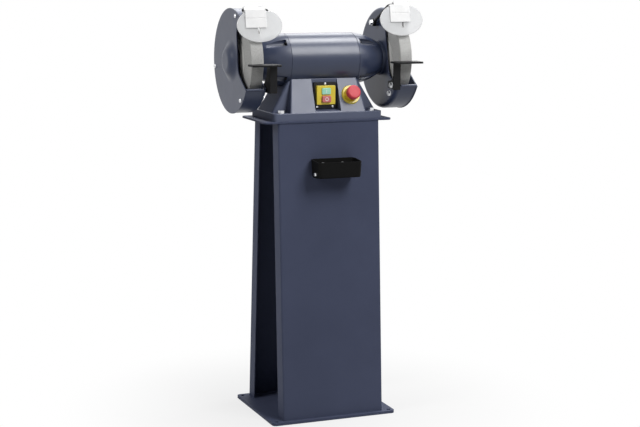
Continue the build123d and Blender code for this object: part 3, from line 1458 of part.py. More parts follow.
# Switch in the pocket: body, yellow face with two buttons, screws
SWITCH_FRONT = SWITCH.offset(SWITCH_T)
FACE_W = SWITCH_W - 2 * FACE_SIDE
FACE_H = 2 * (SCREW_ROW - SWITCH_SCREW_HEAD_D / 2 - FACE_RISE - FACE_SCREW_GAP)
BUTTON_PITCH = BUTTON_H + BUTTON_BAR
BUTTON_BACK = SWITCH.offset(SWITCH_T + BUTTON_TRAVEL + BUTTON_CLEAR)
START_Y = FACE_RISE + BUTTON_PITCH / 2
STOP_Y = FACE_RISE - BUTTON_PITCH / 2
with BuildPart() as switch_body:
    with BuildSketch(SWITCH):
        RectangleRounded(SWITCH_W, SWITCH_H, FACE_CORNER_R)
        with Locations(*switch_screw_points):
            Circle(SWITCH_SCREW_D / 2 + FIT, mode=Mode.SUBTRACT)
    extrude(amount=SWITCH_T)
    with BuildSketch(SWITCH):
        with Locations((0, -SWITCH_BLOCK_DROP)):
            Rectangle(SWITCH_BLOCK_W, SWITCH_BLOCK_H)
    extrude(amount=-(CASTING_WALL + SWITCH_BLOCK_L))
save(switch_body.part, "switch_body")

with BuildPart() as switch_cover:
    with BuildSketch(SWITCH_FRONT):
        with Locations((0, FACE_RISE)):
            RectangleRounded(FACE_W, FACE_H, FACE_CORNER_R)
    extrude(amount=FACE_T)
    fillet(faces().sort_by(Axis.Y)[0].edges(), FACE_CORNER_R / 2)
    with BuildSketch(SWITCH_FRONT):
        with Locations((0, START_Y), (0, STOP_Y)):
            RectangleRounded(BUTTON_W + 2 * BUTTON_CLEAR, BUTTON_H + 2 * BUTTON_CLEAR, FACE_CORNER_R)
    extrude(amount=FACE_T, mode=Mode.SUBTRACT)
save(switch_cover.part, "switch_cover")


def push_button(up, proud):
    """Rounded push button that sinks into the switch face."""
    with BuildPart() as button:
        with BuildSketch(BUTTON_BACK):
            with Locations((0, up)):
                RectangleRounded(BUTTON_W, BUTTON_H, FACE_CORNER_R - BUTTON_CLEAR)
        extrude(amount=FACE_T + proud - BUTTON_TRAVEL - BUTTON_CLEAR)
        fillet(faces().sort_by(Axis.Y)[0].edges(), FACE_CORNER_R / 2)
    return button.part


save(push_button(START_Y, START_PROUD), "start_button")
save(push_button(STOP_Y, STOP_PROUD), "stop_button")

switch_screw_places = [
    Plane(origin=SWITCH_FRONT.from_local_coords((x, y, 0)), x_dir=(1, 0, 0), z_dir=(0, -1, 0))
    for x, y in switch_screw_points
]
save(
    pan_screws(
        switch_screw_places, SWITCH_SCREW_D, SWITCH_SCREW_L, SWITCH_SCREW_HEAD_D, SWITCH_SCREW_HEAD_H
    ),
    "switch_screws",
)

# Emergency stop: ring and collar through the sloped panel, contact block behind it,
# a stem that pushes in and a mushroom cap that twists on the stem
ESTOP_BODY_L = CASTING_WALL + ESTOP_TRAVEL
ESTOP_CAP_LIFT = ESTOP_COLLAR_H + ESTOP_TRAVEL + ESTOP_CAP_GAP
ESTOP_NOSE_R = ESTOP_NOSE_D / 2
with BuildPart() as estop_ring:
    with BuildSketch(ESTOP):
        Circle(ESTOP_RING_D / 2)
    extrude(amount=ESTOP_RING_T, taper=ESTOP_RING_TAPER)
    with BuildSketch(ESTOP):
        Circle(ESTOP_COLLAR_D / 2)
    extrude(amount=ESTOP_COLLAR_H)
    with BuildSketch(ESTOP):
        Circle(ESTOP_BODY_D / 2)
    extrude(amount=-ESTOP_BODY_L)
    with BuildSketch(ESTOP):
        Circle(ESTOP_STEM_D / 2 + ESTOP_STEM_FIT)
    extrude(amount=2 * ESTOP_BODY_L, both=True, mode=Mode.SUBTRACT)
save(estop_ring.part, "estop_ring")

with BuildPart() as estop_block:
    with BuildSketch(ESTOP.offset(-CASTING_WALL - FIT)):
        Rectangle(ESTOP_BLOCK_W, ESTOP_BLOCK_W)
    extrude(amount=-ESTOP_BLOCK_L)
    with BuildSketch(ESTOP.offset(-CASTING_WALL)):
        Circle(ESTOP_BODY_D / 2 + FIT)
    extrude(amount=-ESTOP_TRAVEL - BOLT_CLEAR, mode=Mode.SUBTRACT)
save(estop_block.part, "estop_block")

with BuildPart() as estop_stem:
    with BuildSketch(ESTOP.offset(-CASTING_WALL)):
        Circle(ESTOP_STEM_D / 2)
    extrude(amount=CASTING_WALL + ESTOP_CAP_LIFT - SLIDE_CLEAR)
    with BuildSketch(ESTOP):
        Circle(ESTOP_NOSE_R)
    extrude(amount=ESTOP_CAP_LIFT + ESTOP_NOSE_L)
save(estop_stem.part, "estop_stem")

with BuildPart() as estop_button:
    with BuildSketch(ESTOP.offset(ESTOP_CAP_LIFT)):
        Circle(ESTOP_CAP_D / 2)
    extrude(amount=ESTOP_CAP_T)
    fillet(edges().filter_by(GeomType.CIRCLE).sort_by(Axis.Y)[0], ESTOP_CAP_EDGE_R)
    with BuildSketch(ESTOP.offset(ESTOP_CAP_LIFT)):
        Circle(ESTOP_NOSE_R + ESTOP_STEM_FIT)
    extrude(amount=ESTOP_NOSE_L + SLIDE_CLEAR, mode=Mode.SUBTRACT)
save(estop_button.part, "estop_button")
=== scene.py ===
import json
import math

import bmesh
import bpy
from mathutils import Matrix, Vector

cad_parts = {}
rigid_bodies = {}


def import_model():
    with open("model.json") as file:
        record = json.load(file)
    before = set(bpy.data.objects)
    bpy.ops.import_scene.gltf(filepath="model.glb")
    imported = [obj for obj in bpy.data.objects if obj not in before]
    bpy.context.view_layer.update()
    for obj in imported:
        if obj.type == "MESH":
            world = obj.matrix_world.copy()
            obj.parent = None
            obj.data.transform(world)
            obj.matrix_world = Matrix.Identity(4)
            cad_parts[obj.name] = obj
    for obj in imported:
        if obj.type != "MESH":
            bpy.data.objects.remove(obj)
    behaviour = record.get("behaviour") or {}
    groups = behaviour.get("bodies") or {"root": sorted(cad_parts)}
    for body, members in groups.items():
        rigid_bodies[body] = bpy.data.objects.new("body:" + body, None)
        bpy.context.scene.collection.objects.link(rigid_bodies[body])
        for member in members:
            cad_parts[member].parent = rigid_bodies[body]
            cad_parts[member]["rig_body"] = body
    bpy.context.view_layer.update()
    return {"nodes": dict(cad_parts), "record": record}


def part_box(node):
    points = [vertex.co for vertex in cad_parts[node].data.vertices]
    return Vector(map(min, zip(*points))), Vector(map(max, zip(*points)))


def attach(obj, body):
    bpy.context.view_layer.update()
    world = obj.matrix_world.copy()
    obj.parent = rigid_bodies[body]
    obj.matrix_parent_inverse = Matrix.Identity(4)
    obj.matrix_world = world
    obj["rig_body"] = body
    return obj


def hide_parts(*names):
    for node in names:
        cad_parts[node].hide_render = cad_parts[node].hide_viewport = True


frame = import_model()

NODES = frame["nodes"]
SLOTS = {part["node"]: part["material_slot"] for part in frame["record"]["subparts"]}
SCENE = bpy.context.scene
SCENE.view_settings.view_transform = "Standard"

# Camera, fitted to the photograph (metres and degrees; lens and sensor in millimetres)
CAMERA_AT = (-1.6976, -4.1930, 1.3406)
CAMERA_YAW_DEG = 22.20
CAMERA_DOWN_DEG = 9.58
CAMERA_ROLL_DEG = 0.38
CAMERA_LENS = 88.54
SENSOR_WIDTH = 36.0
VIEW_DISTANCE = 50.0

# Soft lamps: overhead, above in front at the right, high at the left, and behind (metres and watts)
LAMPS = {
    "key": dict(at=(0.8, 0.1, 3.0), toward=(0, 0, 0.95), width=0.8, height=1.2, power=46),
    "front": dict(at=(1.1, -2.1, 2.95), toward=(0, 0, 0.95), width=1.4, height=1.7, power=80),
    "side": dict(at=(-3.3, -0.7, 3.1), toward=(0, 0, 0.9), width=1.4, height=1.6, power=66),
    "back": dict(at=(1.2, 2.6, 2.9), toward=(0, 0, 0.8), width=1.6, height=1.2, power=28),
}

# Surroundings: plain white for the rays that show them, and a weak fill for the rays that only light
WHITE = (1, 1, 1, 1)
WHITE_STRENGTH = 1.0
FILL_COLOUR = (0.95, 0.97, 1, 1)
FILL_STRENGTH = 0.03

# Floor (metres); its share of plain white beside the object, and the distances over which that grows to all
FLOOR_HALF = 14.0
FLOOR_DROP = 0.0005
FLOOR_COLOUR = (0.55, 0.55, 0.55, 1)
FLOOR_ROUGHNESS = 0.9
FLOOR_WHITE_NEAR = 0.78
FLOOR_FADE = (0.2, 0.8)


def add_camera():
    """Camera at the photograph's viewing angle."""
    yaw = math.radians(CAMERA_YAW_DEG)
    down = math.radians(CAMERA_DOWN_DEG)
    roll = math.radians(CAMERA_ROLL_DEG)
    ahead = Vector((math.sin(yaw) * math.cos(down), math.cos(yaw) * math.cos(down), -math.sin(down)))
    level = Vector((math.cos(yaw), -math.sin(yaw), 0.0))
    above = level.cross(ahead)
    right = level * math.cos(roll) + above * math.sin(roll)
    up = above * math.cos(roll) - level * math.sin(roll)
    turn = Matrix((right, up, -ahead)).transposed()
    data = bpy.data.cameras.new("photo_camera")
    data.lens = CAMERA_LENS
    data.sensor_width = SENSOR_WIDTH
    data.sensor_fit = "HORIZONTAL"
    data.clip_end = VIEW_DISTANCE
    camera = bpy.data.objects.new("photo_camera", data)
    camera.matrix_world = Matrix.Translation(CAMERA_AT) @ turn.to_4x4()
    SCENE.collection.objects.link(camera)
    SCENE.camera = camera


def add_lamp(name, at, toward, width, height, power):
    """Soft rectangular studio lamp."""
    data = bpy.data.lights.new(name, "AREA")
    data.shape = "RECTANGLE"
    data.size = width
    data.size_y = height
    data.energy = power
    lamp = bpy.data.objects.new(name, data)
    aim = Vector(toward) - Vector(at)
    lamp.matrix_world = Matrix.Translation(at) @ aim.to_track_quat("-Z", "Y").to_matrix().to_4x4()
    SCENE.collection.objects.link(lamp)


def add_lamps():
    """All the studio lamps."""
    for name, values in LAMPS.items():
        add_lamp(name, **values)


def add_white_rays(tree):
    """1 for rays that show the white background: the camera's, mirrored and transmitted ones."""
    path = tree.nodes.new("ShaderNodeLightPath")
    mirrored = tree.nodes.new("ShaderNodeMath")
    mirrored.operation = "MAXIMUM"
    tree.links.new(path.outputs["Is Camera Ray"], mirrored.inputs[0])
    tree.links.new(path.outputs["Is Glossy Ray"], mirrored.inputs[1])
    seen = tree.nodes.new("ShaderNodeMath")
    seen.operation = "MAXIMUM"
    tree.links.new(mirrored.outputs[0], seen.inputs[0])
    tree.links.new(path.outputs["Is Transmission Ray"], seen.inputs[1])
    return seen.outputs[0]


def add_floor_white(tree):
    """Share of plain white that those rays see in the floor: less near the object, all of it further out."""
    place = tree.nodes.new("ShaderNodeTexCoord")
    away = tree.nodes.new("ShaderNodeVectorMath")
    away.operation = "LENGTH"
    tree.links.new(place.outputs["Object"], away.inputs[0])
    fade = tree.nodes.new("ShaderNodeMapRange")
    fade.interpolation_type = "SMOOTHSTEP"
    fade.inputs["From Min"].default_value = FLOOR_FADE[0]
    fade.inputs["From Max"].default_value = FLOOR_FADE[1]
    fade.inputs["To Min"].default_value = FLOOR_WHITE_NEAR
    fade.inputs["To Max"].default_value = 1.0
    tree.links.new(away.outputs["Value"], fade.inputs["Value"])
    share = tree.nodes.new("ShaderNodeMath")
    share.operation = "MULTIPLY"
    tree.links.new(add_white_rays(tree), share.inputs[0])
    tree.links.new(fade.outputs["Result"], share.inputs[1])
    return share.outputs[0]


def floor_look():
    """Matt pale floor mixed with plain white."""
    look = bpy.data.materials.new("floor_white")
    look.use_nodes = True
    tree = look.node_tree
    shader = tree.nodes["Principled BSDF"]
    shader.inputs["Base Color"].default_value = FLOOR_COLOUR
    shader.inputs["Roughness"].default_value = FLOOR_ROUGHNESS
    shader.inputs["Specular IOR Level"].default_value = 0.0
    glow = tree.nodes.new("ShaderNodeEmission")
    glow.inputs["Color"].default_value = WHITE
    glow.inputs["Strength"].default_value = WHITE_STRENGTH
    mix = tree.nodes.new("ShaderNodeMixShader")
    tree.links.new(add_floor_white(tree), mix.inputs[0])
    tree.links.new(shader.outputs[0], mix.inputs[1])
    tree.links.new(glow.outputs[0], mix.inputs[2])
    tree.links.new(mix.outputs[0], tree.nodes["Material Output"].inputs["Surface"])
    return look


def add_floor():
    """White floor that shows the object's shadow near it and fades to plain white further out."""
    corners = [(-1, -1), (1, -1), (1, 1), (-1, 1)]
    points = [(x * FLOOR_HALF, y * FLOOR_HALF, -FLOOR_DROP) for x, y in corners]
    mesh = bpy.data.meshes.new("floor")
    mesh.from_pydata(points, [], [(0, 1, 2, 3)])
    mesh.materials.append(floor_look())
    floor = bpy.data.objects.new("floor", mesh)
    SCENE.collection.objects.link(floor)


def add_surroundings():
    """White studio: plain white where it shows, and only a weak fill as a light."""
    world = bpy.data.worlds.new("studio")
    SCENE.world = world
    world.use_nodes = True
    tree = world.node_tree
    tree.nodes.clear()
    seen = add_white_rays(tree)
    white = tree.nodes.new("ShaderNodeBackground")
    white.inputs["Color"].default_value = WHITE
    white.inputs["Strength"].default_value = WHITE_STRENGTH
    fill = tree.nodes.new("ShaderNodeBackground")
    fill.inputs["Color"].default_value = FILL_COLOUR
    fill.inputs["Strength"].default_value = FILL_STRENGTH
    mix = tree.nodes.new("ShaderNodeMixShader")
    out = tree.nodes.new("ShaderNodeOutputWorld")
    tree.links.new(seen, mix.inputs[0])
    tree.links.new(fill.outputs[0], mix.inputs[1])
    tree.links.new(white.outputs[0], mix.inputs[2])
    tree.links.new(mix.outputs[0], out.inputs["Surface"])


# Materials, all from nodes in object coordinates (metres)

# Places of the colour sockets on Blender's Mix node
MIX_FIRST = 6
MIX_SECOND = 7
MIX_RESULT = 2

# Cosine between the true and the rounded normal where an edge begins, and where it counts in full
EDGE_COSINES = (0.985, 0.86)
EDGE_SAMPLES = 4

# Square of the normal's X where a side begins, and where it counts in full
SIDE_SQUARES = (0.3, 0.6)

# Noise values that get a material's darker and its paler tone
TONE_ENDS = (0.3, 0.7)

# How far the roughness of paint and plastic strays below and above its middle
ROUGHNESS_BELOW = 0.06
ROUGHNESS_ABOVE = 0.08


class Look:
    """Small helper that keeps the node code of one material short."""

    def __init__(self, name):
        self.material = bpy.data.materials.new(name)
        self.material.use_nodes = True
        self.nodes = self.material.node_tree.nodes
        self.links = self.material.node_tree.links
        self.shader = self.nodes["Principled BSDF"]
        self.place = self.nodes.new("ShaderNodeTexCoord").outputs["Object"]
        self.rounded = None

    def set(self, **values):
        """Constants straight on the shader's sockets, spaces written as underscores."""
        for key, value in values.items():
            self.shader.inputs[key.replace("_", " ")].default_value = value

    def noise(self, scale, detail, rough, stretch=None):
        """Noise value between 0 and 1."""
        node = self.nodes.new("ShaderNodeTexNoise")
        node.inputs["Scale"].default_value = scale
        node.inputs["Detail"].default_value = detail
        node.inputs["Roughness"].default_value = rough
        place = self.place
        if stretch:
            mapping = self.nodes.new("ShaderNodeMapping")
            mapping.inputs["Scale"].default_value = stretch
            self.links.new(self.place, mapping.inputs["Vector"])
            place = mapping.outputs["Vector"]
        self.links.new(place, node.inputs["Vector"])
        return node.outputs["Fac"]

    def grains(self, scale):
        """Cell pattern, as a node with a colour for each cell and the distance from its middle."""
        node = self.nodes.new("ShaderNodeTexVoronoi")
        node.inputs["Scale"].default_value = scale
        self.links.new(self.place, node.inputs["Vector"])
        return node

    def ramp(self, value, stops):
        """Colour ramp from (position, colour) stops."""
        node = self.nodes.new("ShaderNodeValToRGB")
        band = node.color_ramp
        while len(band.elements) < len(stops):
            band.elements.new(1.0)
        for element, (position, colour) in zip(band.elements, stops):
            element.position = position
            element.color = (*colour, 1.0)
        self.links.new(value, node.inputs["Fac"])
        return node.outputs["Color"]

    def tones(self, value, dark, pale, ends=TONE_ENDS):
        """Colour between a darker and a paler tone."""
        return self.ramp(value, list(zip(ends, (dark, pale))))

    def spread(self, value, low, high):
        """Maps 0..1 to low..high."""
        node = self.nodes.new("ShaderNodeMapRange")
        node.inputs["To Min"].default_value = low
        node.inputs["To Max"].default_value = high
        self.links.new(value, node.inputs["Value"])
        return node.outputs["Result"]

    def uneven(self, value, middle, below=ROUGHNESS_BELOW, above=ROUGHNESS_ABOVE):
        """Maps 0..1 to a span round a middle."""
        return self.spread(value, middle - below, middle + above)

    def step(self, value, start, end):
        """Smooth step from 0 at start to 1 at end."""
        node = self.nodes.new("ShaderNodeMapRange")
        node.interpolation_type = "SMOOTHSTEP"
        node.inputs["From Min"].default_value = start
        node.inputs["From Max"].default_value = end
        self.links.new(value, node.inputs["Value"])
        return node.outputs["Result"]

    def maths(self, kind, first, second):
        """Maths on two values, either of which may be a number."""
        node = self.nodes.new("ShaderNodeMath")
        node.operation = kind
        for socket, value in zip(node.inputs, (first, second)):
            if isinstance(value, (int, float)):
                socket.default_value = value
            else:
                self.links.new(value, socket)
        return node.outputs[0]

    def mix(self, factor, first, second):
        """Colour mix; a colour may be a tuple or a socket."""
        node = self.nodes.new("ShaderNodeMix")
        node.data_type = "RGBA"
        self.links.new(factor, node.inputs["Factor"])
        for place, value in ((MIX_FIRST, first), (MIX_SECOND, second)):
            if isinstance(value, tuple):
                node.inputs[place].default_value = (*value, 1.0)
            else:
                self.links.new(value, node.inputs[place])
        return node.outputs[MIX_RESULT]

    def edges(self, radius):
        """Mask that is 1 on sharp edges; the rounded normal also softens them in the bump."""
        bevel = self.nodes.new("ShaderNodeBevel")
        bevel.samples = EDGE_SAMPLES
        bevel.inputs["Radius"].default_value = radius
        self.rounded = bevel.outputs["Normal"]
        plain = self.nodes.new("ShaderNodeNewGeometry")
        dot = self.nodes.new("ShaderNodeVectorMath")
        dot.operation = "DOT_PRODUCT"
        self.links.new(bevel.outputs["Normal"], dot.inputs[0])
        self.links.new(plain.outputs["Normal"], dot.inputs[1])
        return self.step(dot.outputs["Value"], *EDGE_COSINES)

    def sideways(self):
        """Mask that is 1 on surfaces that face along the spindle."""
        parts = self.nodes.new("ShaderNodeSeparateXYZ")
        coordinates = self.nodes.new("ShaderNodeTexCoord")
        self.links.new(coordinates.outputs["Normal"], parts.inputs[0])
        return self.step(self.maths("POWER", parts.outputs["X"], 2.0), *SIDE_SQUARES)

    def colour(self, socket):
        """Colour of the surface."""
        self.links.new(socket, self.shader.inputs["Base Color"])

    def rough(self, socket):
        """Roughness of the surface."""
        self.links.new(socket, self.shader.inputs["Roughness"])

    def cover(self, socket):
        """How much the surface hides of what lies behind it."""
        self.links.new(socket, self.shader.inputs["Alpha"])

    def bump(self, height, distance, strength):
        """Relief of the surface, on rounded edges where the material has them."""
        node = self.nodes.new("ShaderNodeBump")
        node.inputs["Strength"].default_value = strength
        node.inputs["Distance"].default_value = distance
        self.links.new(height, node.inputs["Height"])
        if self.rounded:
            self.links.new(self.rounded, node.inputs["Normal"])
        self.links.new(node.outputs["Normal"], self.shader.inputs["Normal"])


def shade(colour, factor):
    """Colour made lighter or darker."""
    return tuple(min(1.0, c * factor) for c in colour)


def paint(name, colour, roughness, peel, peel_height, gloss, side_roughness=None):
    """Sprayed paint: orange peel, faint cloudiness, lighter edges that are partly rubbed paint and partly
    painted highlight, duller sides on rough castings.
    """
    look = Look(name)
    cloud = look.noise(scale=5.0, detail=5.0, rough=0.6)
    base = look.tones(cloud, dark=shade(colour, 0.93), pale=shade(colour, 1.07))
    patches = look.step(look.noise(scale=60.0, detail=5.0, rough=0.7), start=0.35, end=0.7)
    # Edges in patches painted much lighter: partly rubbed paint, partly a painted highlight along them
    worn_and_highlit = look.maths("MULTIPLY", look.edges(radius=0.0012), patches)
    look.colour(look.mix(worn_and_highlit, base, shade(colour, 2.1)))
    smear = look.uneven(look.noise(scale=22.0, detail=6.0, rough=0.65), roughness)
    if side_roughness:
        dull = look.maths("MULTIPLY", look.sideways(), side_roughness)
        smear = look.maths("MAXIMUM", smear, dull)
    look.rough(smear)
    look.bump(look.noise(scale=peel, detail=3.0, rough=0.5), distance=peel_height, strength=0.6)
    look.set(Specular_IOR_Level=gloss)
    return look.material


def bright_metal(name, colour, roughness, streak):
    """Plated or turned metal with fine streaks."""
    look = Look(name)
    cloud = look.noise(scale=120.0, detail=4.0, rough=0.6)
    look.colour(look.tones(cloud, dark=shade(colour, 0.82), pale=colour, ends=(0.25, 0.75)))
    lines = look.noise(scale=90.0, detail=4.0, rough=0.6, stretch=streak)
    look.rough(look.uneven(lines, roughness, below=0.08, above=0.12))
    look.bump(lines, distance=0.00004, strength=0.5)
    look.set(Metallic=1.0)
    return look.material


def plastic(name, colour, roughness, grain, grain_height, gloss, coat=0.0):
    """Moulded plastic: fine spark grain, flow marks and paler edges."""
    look = Look(name)
    flow = look.noise(scale=35.0, detail=4.0, rough=0.55)
    base = look.tones(flow, dark=shade(colour, 0.94), pale=shade(colour, 1.05))
    look.colour(look.mix(look.edges(radius=0.0006), base, shade(colour, 1.25)))
    look.rough(look.uneven(look.noise(scale=80.0, detail=4.0, rough=0.6), roughness))
    look.bump(look.noise(scale=grain, detail=2.0, rough=0.5), distance=grain_height, strength=0.5)
    look.set(Coat_Weight=coat, Coat_Roughness=0.15, Specular_IOR_Level=gloss)
    return look.material


def abrasive(name):
    """Grey vitrified grit: grains of several tones, open pores painted dark as the shade in them, and a
    rough surface.
    """
    grit = [(0.0, (0.28, 0.28, 0.275)), (0.45, (0.48, 0.48, 0.47)), (1.0, (0.66, 0.66, 0.64))]
    dust = (0.52, 0.52, 0.505)
    pore_shade = (0.10, 0.10, 0.10)
    pore_depth = 0.8
    look = Look(name)
    coarse = look.grains(scale=1500.0)
    tone = look.ramp(coarse.outputs["Color"], grit)
    pores = look.step(look.noise(scale=900.0, detail=3.0, rough=0.6), start=0.62, end=0.72)
    dusty = look.noise(scale=14.0, detail=5.0, rough=0.6)
    pale = look.mix(look.step(dusty, start=0.4, end=0.75), tone, dust)
    # Pores painted dark: painted shade in the hollows
    look.colour(look.mix(pores, pale, pore_shade))
    look.rough(look.spread(dusty, low=0.85, high=1.0))
    hollow = look.maths("MULTIPLY", pores, pore_depth)
    look.bump(look.maths("SUBTRACT", coarse.outputs["Distance"], hollow), distance=0.0004, strength=0.8)
    look.set(Specular_IOR_Level=0.25)
    return look.material


def paper(name):
    """Pale blotter paper with soft fibres."""
    look = Look(name)
    fibre = look.noise(scale=400.0, detail=5.0, rough=0.7)
    look.colour(look.tones(fibre, dark=(0.55, 0.55, 0.53), pale=(0.72, 0.72, 0.69)))
    look.rough(look.spread(fibre, low=0.8, high=0.95))
    look.bump(fibre, distance=0.0001, strength=0.6)
    return look.material


def clear_sheet(name):
    """Milky clear safety sheet with faint haze, scuffs and a painted highlight on its cut edge, which is
    drawn opaque.
    """
    highlit_edge = (0.98, 0.98, 0.98)
    scuff_cover = 0.06
    look = Look(name)
    haze = look.noise(scale=18.0, detail=5.0, rough=0.6)
    scratches = look.noise(scale=260.0, detail=6.0, rough=0.75, stretch=(1.0, 1.0, 0.25))
    scuff = look.step(scratches, start=0.6, end=0.8)
    # Cut edge painted near white and opaque: a painted highlight along it
    highlit_rim = look.edges(radius=0.003)
    milky = look.tones(haze, dark=(0.80, 0.81, 0.82), pale=(0.84, 0.85, 0.86))
    look.colour(look.mix(highlit_rim, milky, highlit_edge))
    look.rough(look.spread(look.maths("MAXIMUM", haze, scuff), low=0.08, high=0.3))
    clouded = look.spread(haze, low=0.58, high=0.66)
    scuffed = look.maths("ADD", clouded, look.maths("MULTIPLY", scuff, scuff_cover))
    look.cover(look.maths("MAXIMUM", scuffed, highlit_rim))
    look.bump(scuff, distance=0.00002, strength=0.4)
    look.set(Specular_IOR_Level=0.5)
    return look.material


def windings(name):
    """Varnished copper wire lying round the stator."""
    look = Look(name)
    strand = look.noise(scale=500.0, detail=3.0, rough=0.6, stretch=(1.0, 0.08, 0.08))
    look.colour(look.tones(strand, dark=(0.24, 0.09, 0.03), pale=(0.58, 0.27, 0.10)))
    look.rough(look.spread(strand, low=0.25, high=0.45))
    look.bump(strand, distance=0.0004, strength=0.8)
    look.set(Metallic=0.9)
    return look.material


PAINTS = {
    "stand_paint": dict(
        colour=(0.066, 0.077, 0.127), roughness=0.50, peel=700.0, peel_height=0.00030, gloss=0.06
    ),
    "machine_paint": dict(
        colour=(0.040, 0.052, 0.096), roughness=0.32, peel=420.0, peel_height=0.00012, gloss=0.34
    ),
    # Base casting: the machine's navy paint painted lighter, as painted light; its sides rougher as on a
    # sand casting
    "cast_paint_lit": dict(
        colour=(0.084, 0.099, 0.158), roughness=0.32, peel=420.0, peel_height=0.00012, gloss=0.38,
        side_roughness=0.66,
    ),
    # Motor shell and end bells: the same navy paint painted darker, as painted shade, and glossier
    "shell_paint_shaded": dict(
        colour=(0.030, 0.040, 0.078), roughness=0.30, peel=420.0, peel_height=0.00012, gloss=0.50
    ),
    "black_steel": dict(
        colour=(0.007, 0.007, 0.008), roughness=0.45, peel=700.0, peel_height=0.00010, gloss=0.15
    ),
}
METALS = {
    "zinc_steel": dict(colour=(0.78, 0.79, 0.81), roughness=0.26, streak=(1.0, 1.0, 0.2)),
    "turned_steel": dict(colour=(0.56, 0.56, 0.57), roughness=0.32, streak=(8.0, 0.3, 0.3)),
    "motor_iron": dict(colour=(0.22, 0.22, 0.23), roughness=0.5, streak=(12.0, 0.2, 0.2)),
}
PLASTICS = {
    "tray_plastic": dict(
        colour=(0.006, 0.006, 0.006), roughness=0.55, grain=2200.0, grain_height=0.00012, gloss=0.06
    ),
    "black_plastic": dict(
        colour=(0.008, 0.008, 0.009), roughness=0.42, grain=2200.0, grain_height=0.00008, gloss=0.30
    ),
    "yellow_plastic": dict(
        colour=(0.74, 0.58, 0.045), roughness=0.34, grain=2500.0, grain_height=0.00005, gloss=0.5, coat=0.2
    ),
    "green_plastic": dict(
        colour=(0.36, 0.74, 0.56), roughness=0.32, grain=2500.0, grain_height=0.00004, gloss=0.4
    ),
    "red_plastic": dict(
        colour=(0.56, 0.055, 0.072), roughness=0.40, grain=2500.0, grain_height=0.00004, gloss=0.25
    ),
    # Stop button: the red painted paler, as a painted highlight on it
    "highlit_red_plastic": dict(
        colour=(0.60, 0.17, 0.17), roughness=0.36, grain=2500.0, grain_height=0.00004, gloss=0.4
    ),
    "white_plastic": dict(
        colour=(0.82, 0.82, 0.82), roughness=0.38, grain=2500.0, grain_height=0.00005, gloss=0.5
    ),
}
MATERIALS = {
    **{name: paint(name, **values) for name, values in PAINTS.items()},
    **{name: bright_metal(name, **values) for name, values in METALS.items()},
    "copper_windings": windings("copper_windings"),
    "abrasive": abrasive("abrasive"),
    "blotter_paper": paper("blotter_paper"),
    **{name: plastic(name, **values) for name, values in PLASTICS.items()},
    "clear_sheet": clear_sheet("clear_sheet"),
}

# Nodes whose finish differs from the rest of their slot: lighter and darker copies of the navy paint as
# painted light and shade, and a paler red as a painted highlight
FINISHES = {
    "stop_button": "highlit_red_plastic",
    "grinder_base": "cast_paint_lit",
    "motor_shell": "shell_paint_shaded",
    "left_end_bell": "shell_paint_shaded",
    "right_end_bell": "shell_paint_shaded",
}


def dress_nodes():
    """Give every CAD node its own finish or the material of its slot."""
    for name, slot in SLOTS.items():
        materials = NODES[name].data.materials
        materials.clear()
        materials.append(MATERIALS[FINISHES.get(name, slot)])


# Pieces that take the place of plain CAD fasteners, and small forms added to the solids (metres)
FORWARD = Vector((0, -1, 0))
SIDES = 24
SHARP_DEG = 32.0

# Telling screws apart: how far a screw's points can lie from its first one
SCREW_REACH = 0.03
SMALL_SCREW_REACH = 0.02

# Measuring a screw: where its rim begins in head radii, its tip's height, and the steps that find its axis
RIM_SHARE = 0.95
TIP_HEIGHT = 0.0002
AXIS_STEPS = 12

# Screw tip: its radius and its chamfer's height as shares of the shank's radius
TIP_R = 0.8
TIP_CHAMFER = 0.2

# Button head, in shares of its radius and height: foot, rim below the dome, flat top
FOOT_R = 0.97
FOOT_H = 0.06
RIM_H = 0.25
FLAT_R = 0.62
DOME_DEG = range(0, 90, 18)

# Hexagon socket: flats in head radii, then mouth and floor in flats, and heights in head heights
SOCKET_FLATS = 0.7
SOCKET_MOUTH = 1.06
SOCKET_FLOOR_R = 0.2
SOCKET_TOP_H = 0.93
SOCKET_FOOT_H = 0.35
SOCKET_FLOOR_H = 0.28

# Thumb head from below: what every other point keeps of the radius, then radius and height in head shares
THUMB_SIDES = 2 * SIDES
THUMB_HEAD = (
    (1.0, 0.90, 0.00),
    (0.93, 0.97, 0.12),
    (0.93, 0.92, 0.80),
    (1.0, 0.78, 0.94),
    (1.0, 0.60, 0.94),
    (1.0, 0.55, 0.86),
)

# Button marks: height above the face, then sizes in shares of half the button's height
MARK_PROUD = 0.0003
BAR_HALF_WIDTH = 0.10
BAR_HALF_LENGTH = 0.52
# Each row is a height in shares of MARK_PROUD, then the bar's width and length, or the ring's radius, there
BAR_PROFILE = ((-1, 1.0, 1.0), (0.6, 1.0, 1.0), (1, 0.8, 0.96))
RING_PROFILE = ((-1, 0.40), (0.6, 0.40), (1, 0.43), (1, 0.55), (0.6, 0.58), (-1, 0.58))

# Arrows on the emergency stop: circle in cap radii, and half widths at degrees from an arrow's start
ARROW_CIRCLE = 0.52
ARROW_STARTS_DEG = (0, 120, 240)
ARROW_SHAFT_DEG = range(0, 50, 7)
ARROW_SHAFT_HALF = 0.0007
ARROW_HEAD = ((50, 0.0022), (60, 0.0013), (72, 0.0001))
ARROW_PROUD = 0.0005

# Weld beads: swell is a share of the radius, corner the length left free at a panel's bent edges
WELD_R = 0.0035
WELD_SIDES = 12
WELD_SWELL = 0.12
WELD_RIPPLE = 0.005
WELD_RIPPLE_RINGS = 4
WELD_CORNER = 0.006
FOOT_TOLERANCE = 0.0005


def circle(radius, height, sides=SIDES):
    """Ring of points round the local Z axis."""
    points = []
    for i in range(sides):
        turn = 2 * math.pi * i / sides
        points.append((radius * math.cos(turn), radius * math.sin(turn), height))
    return points


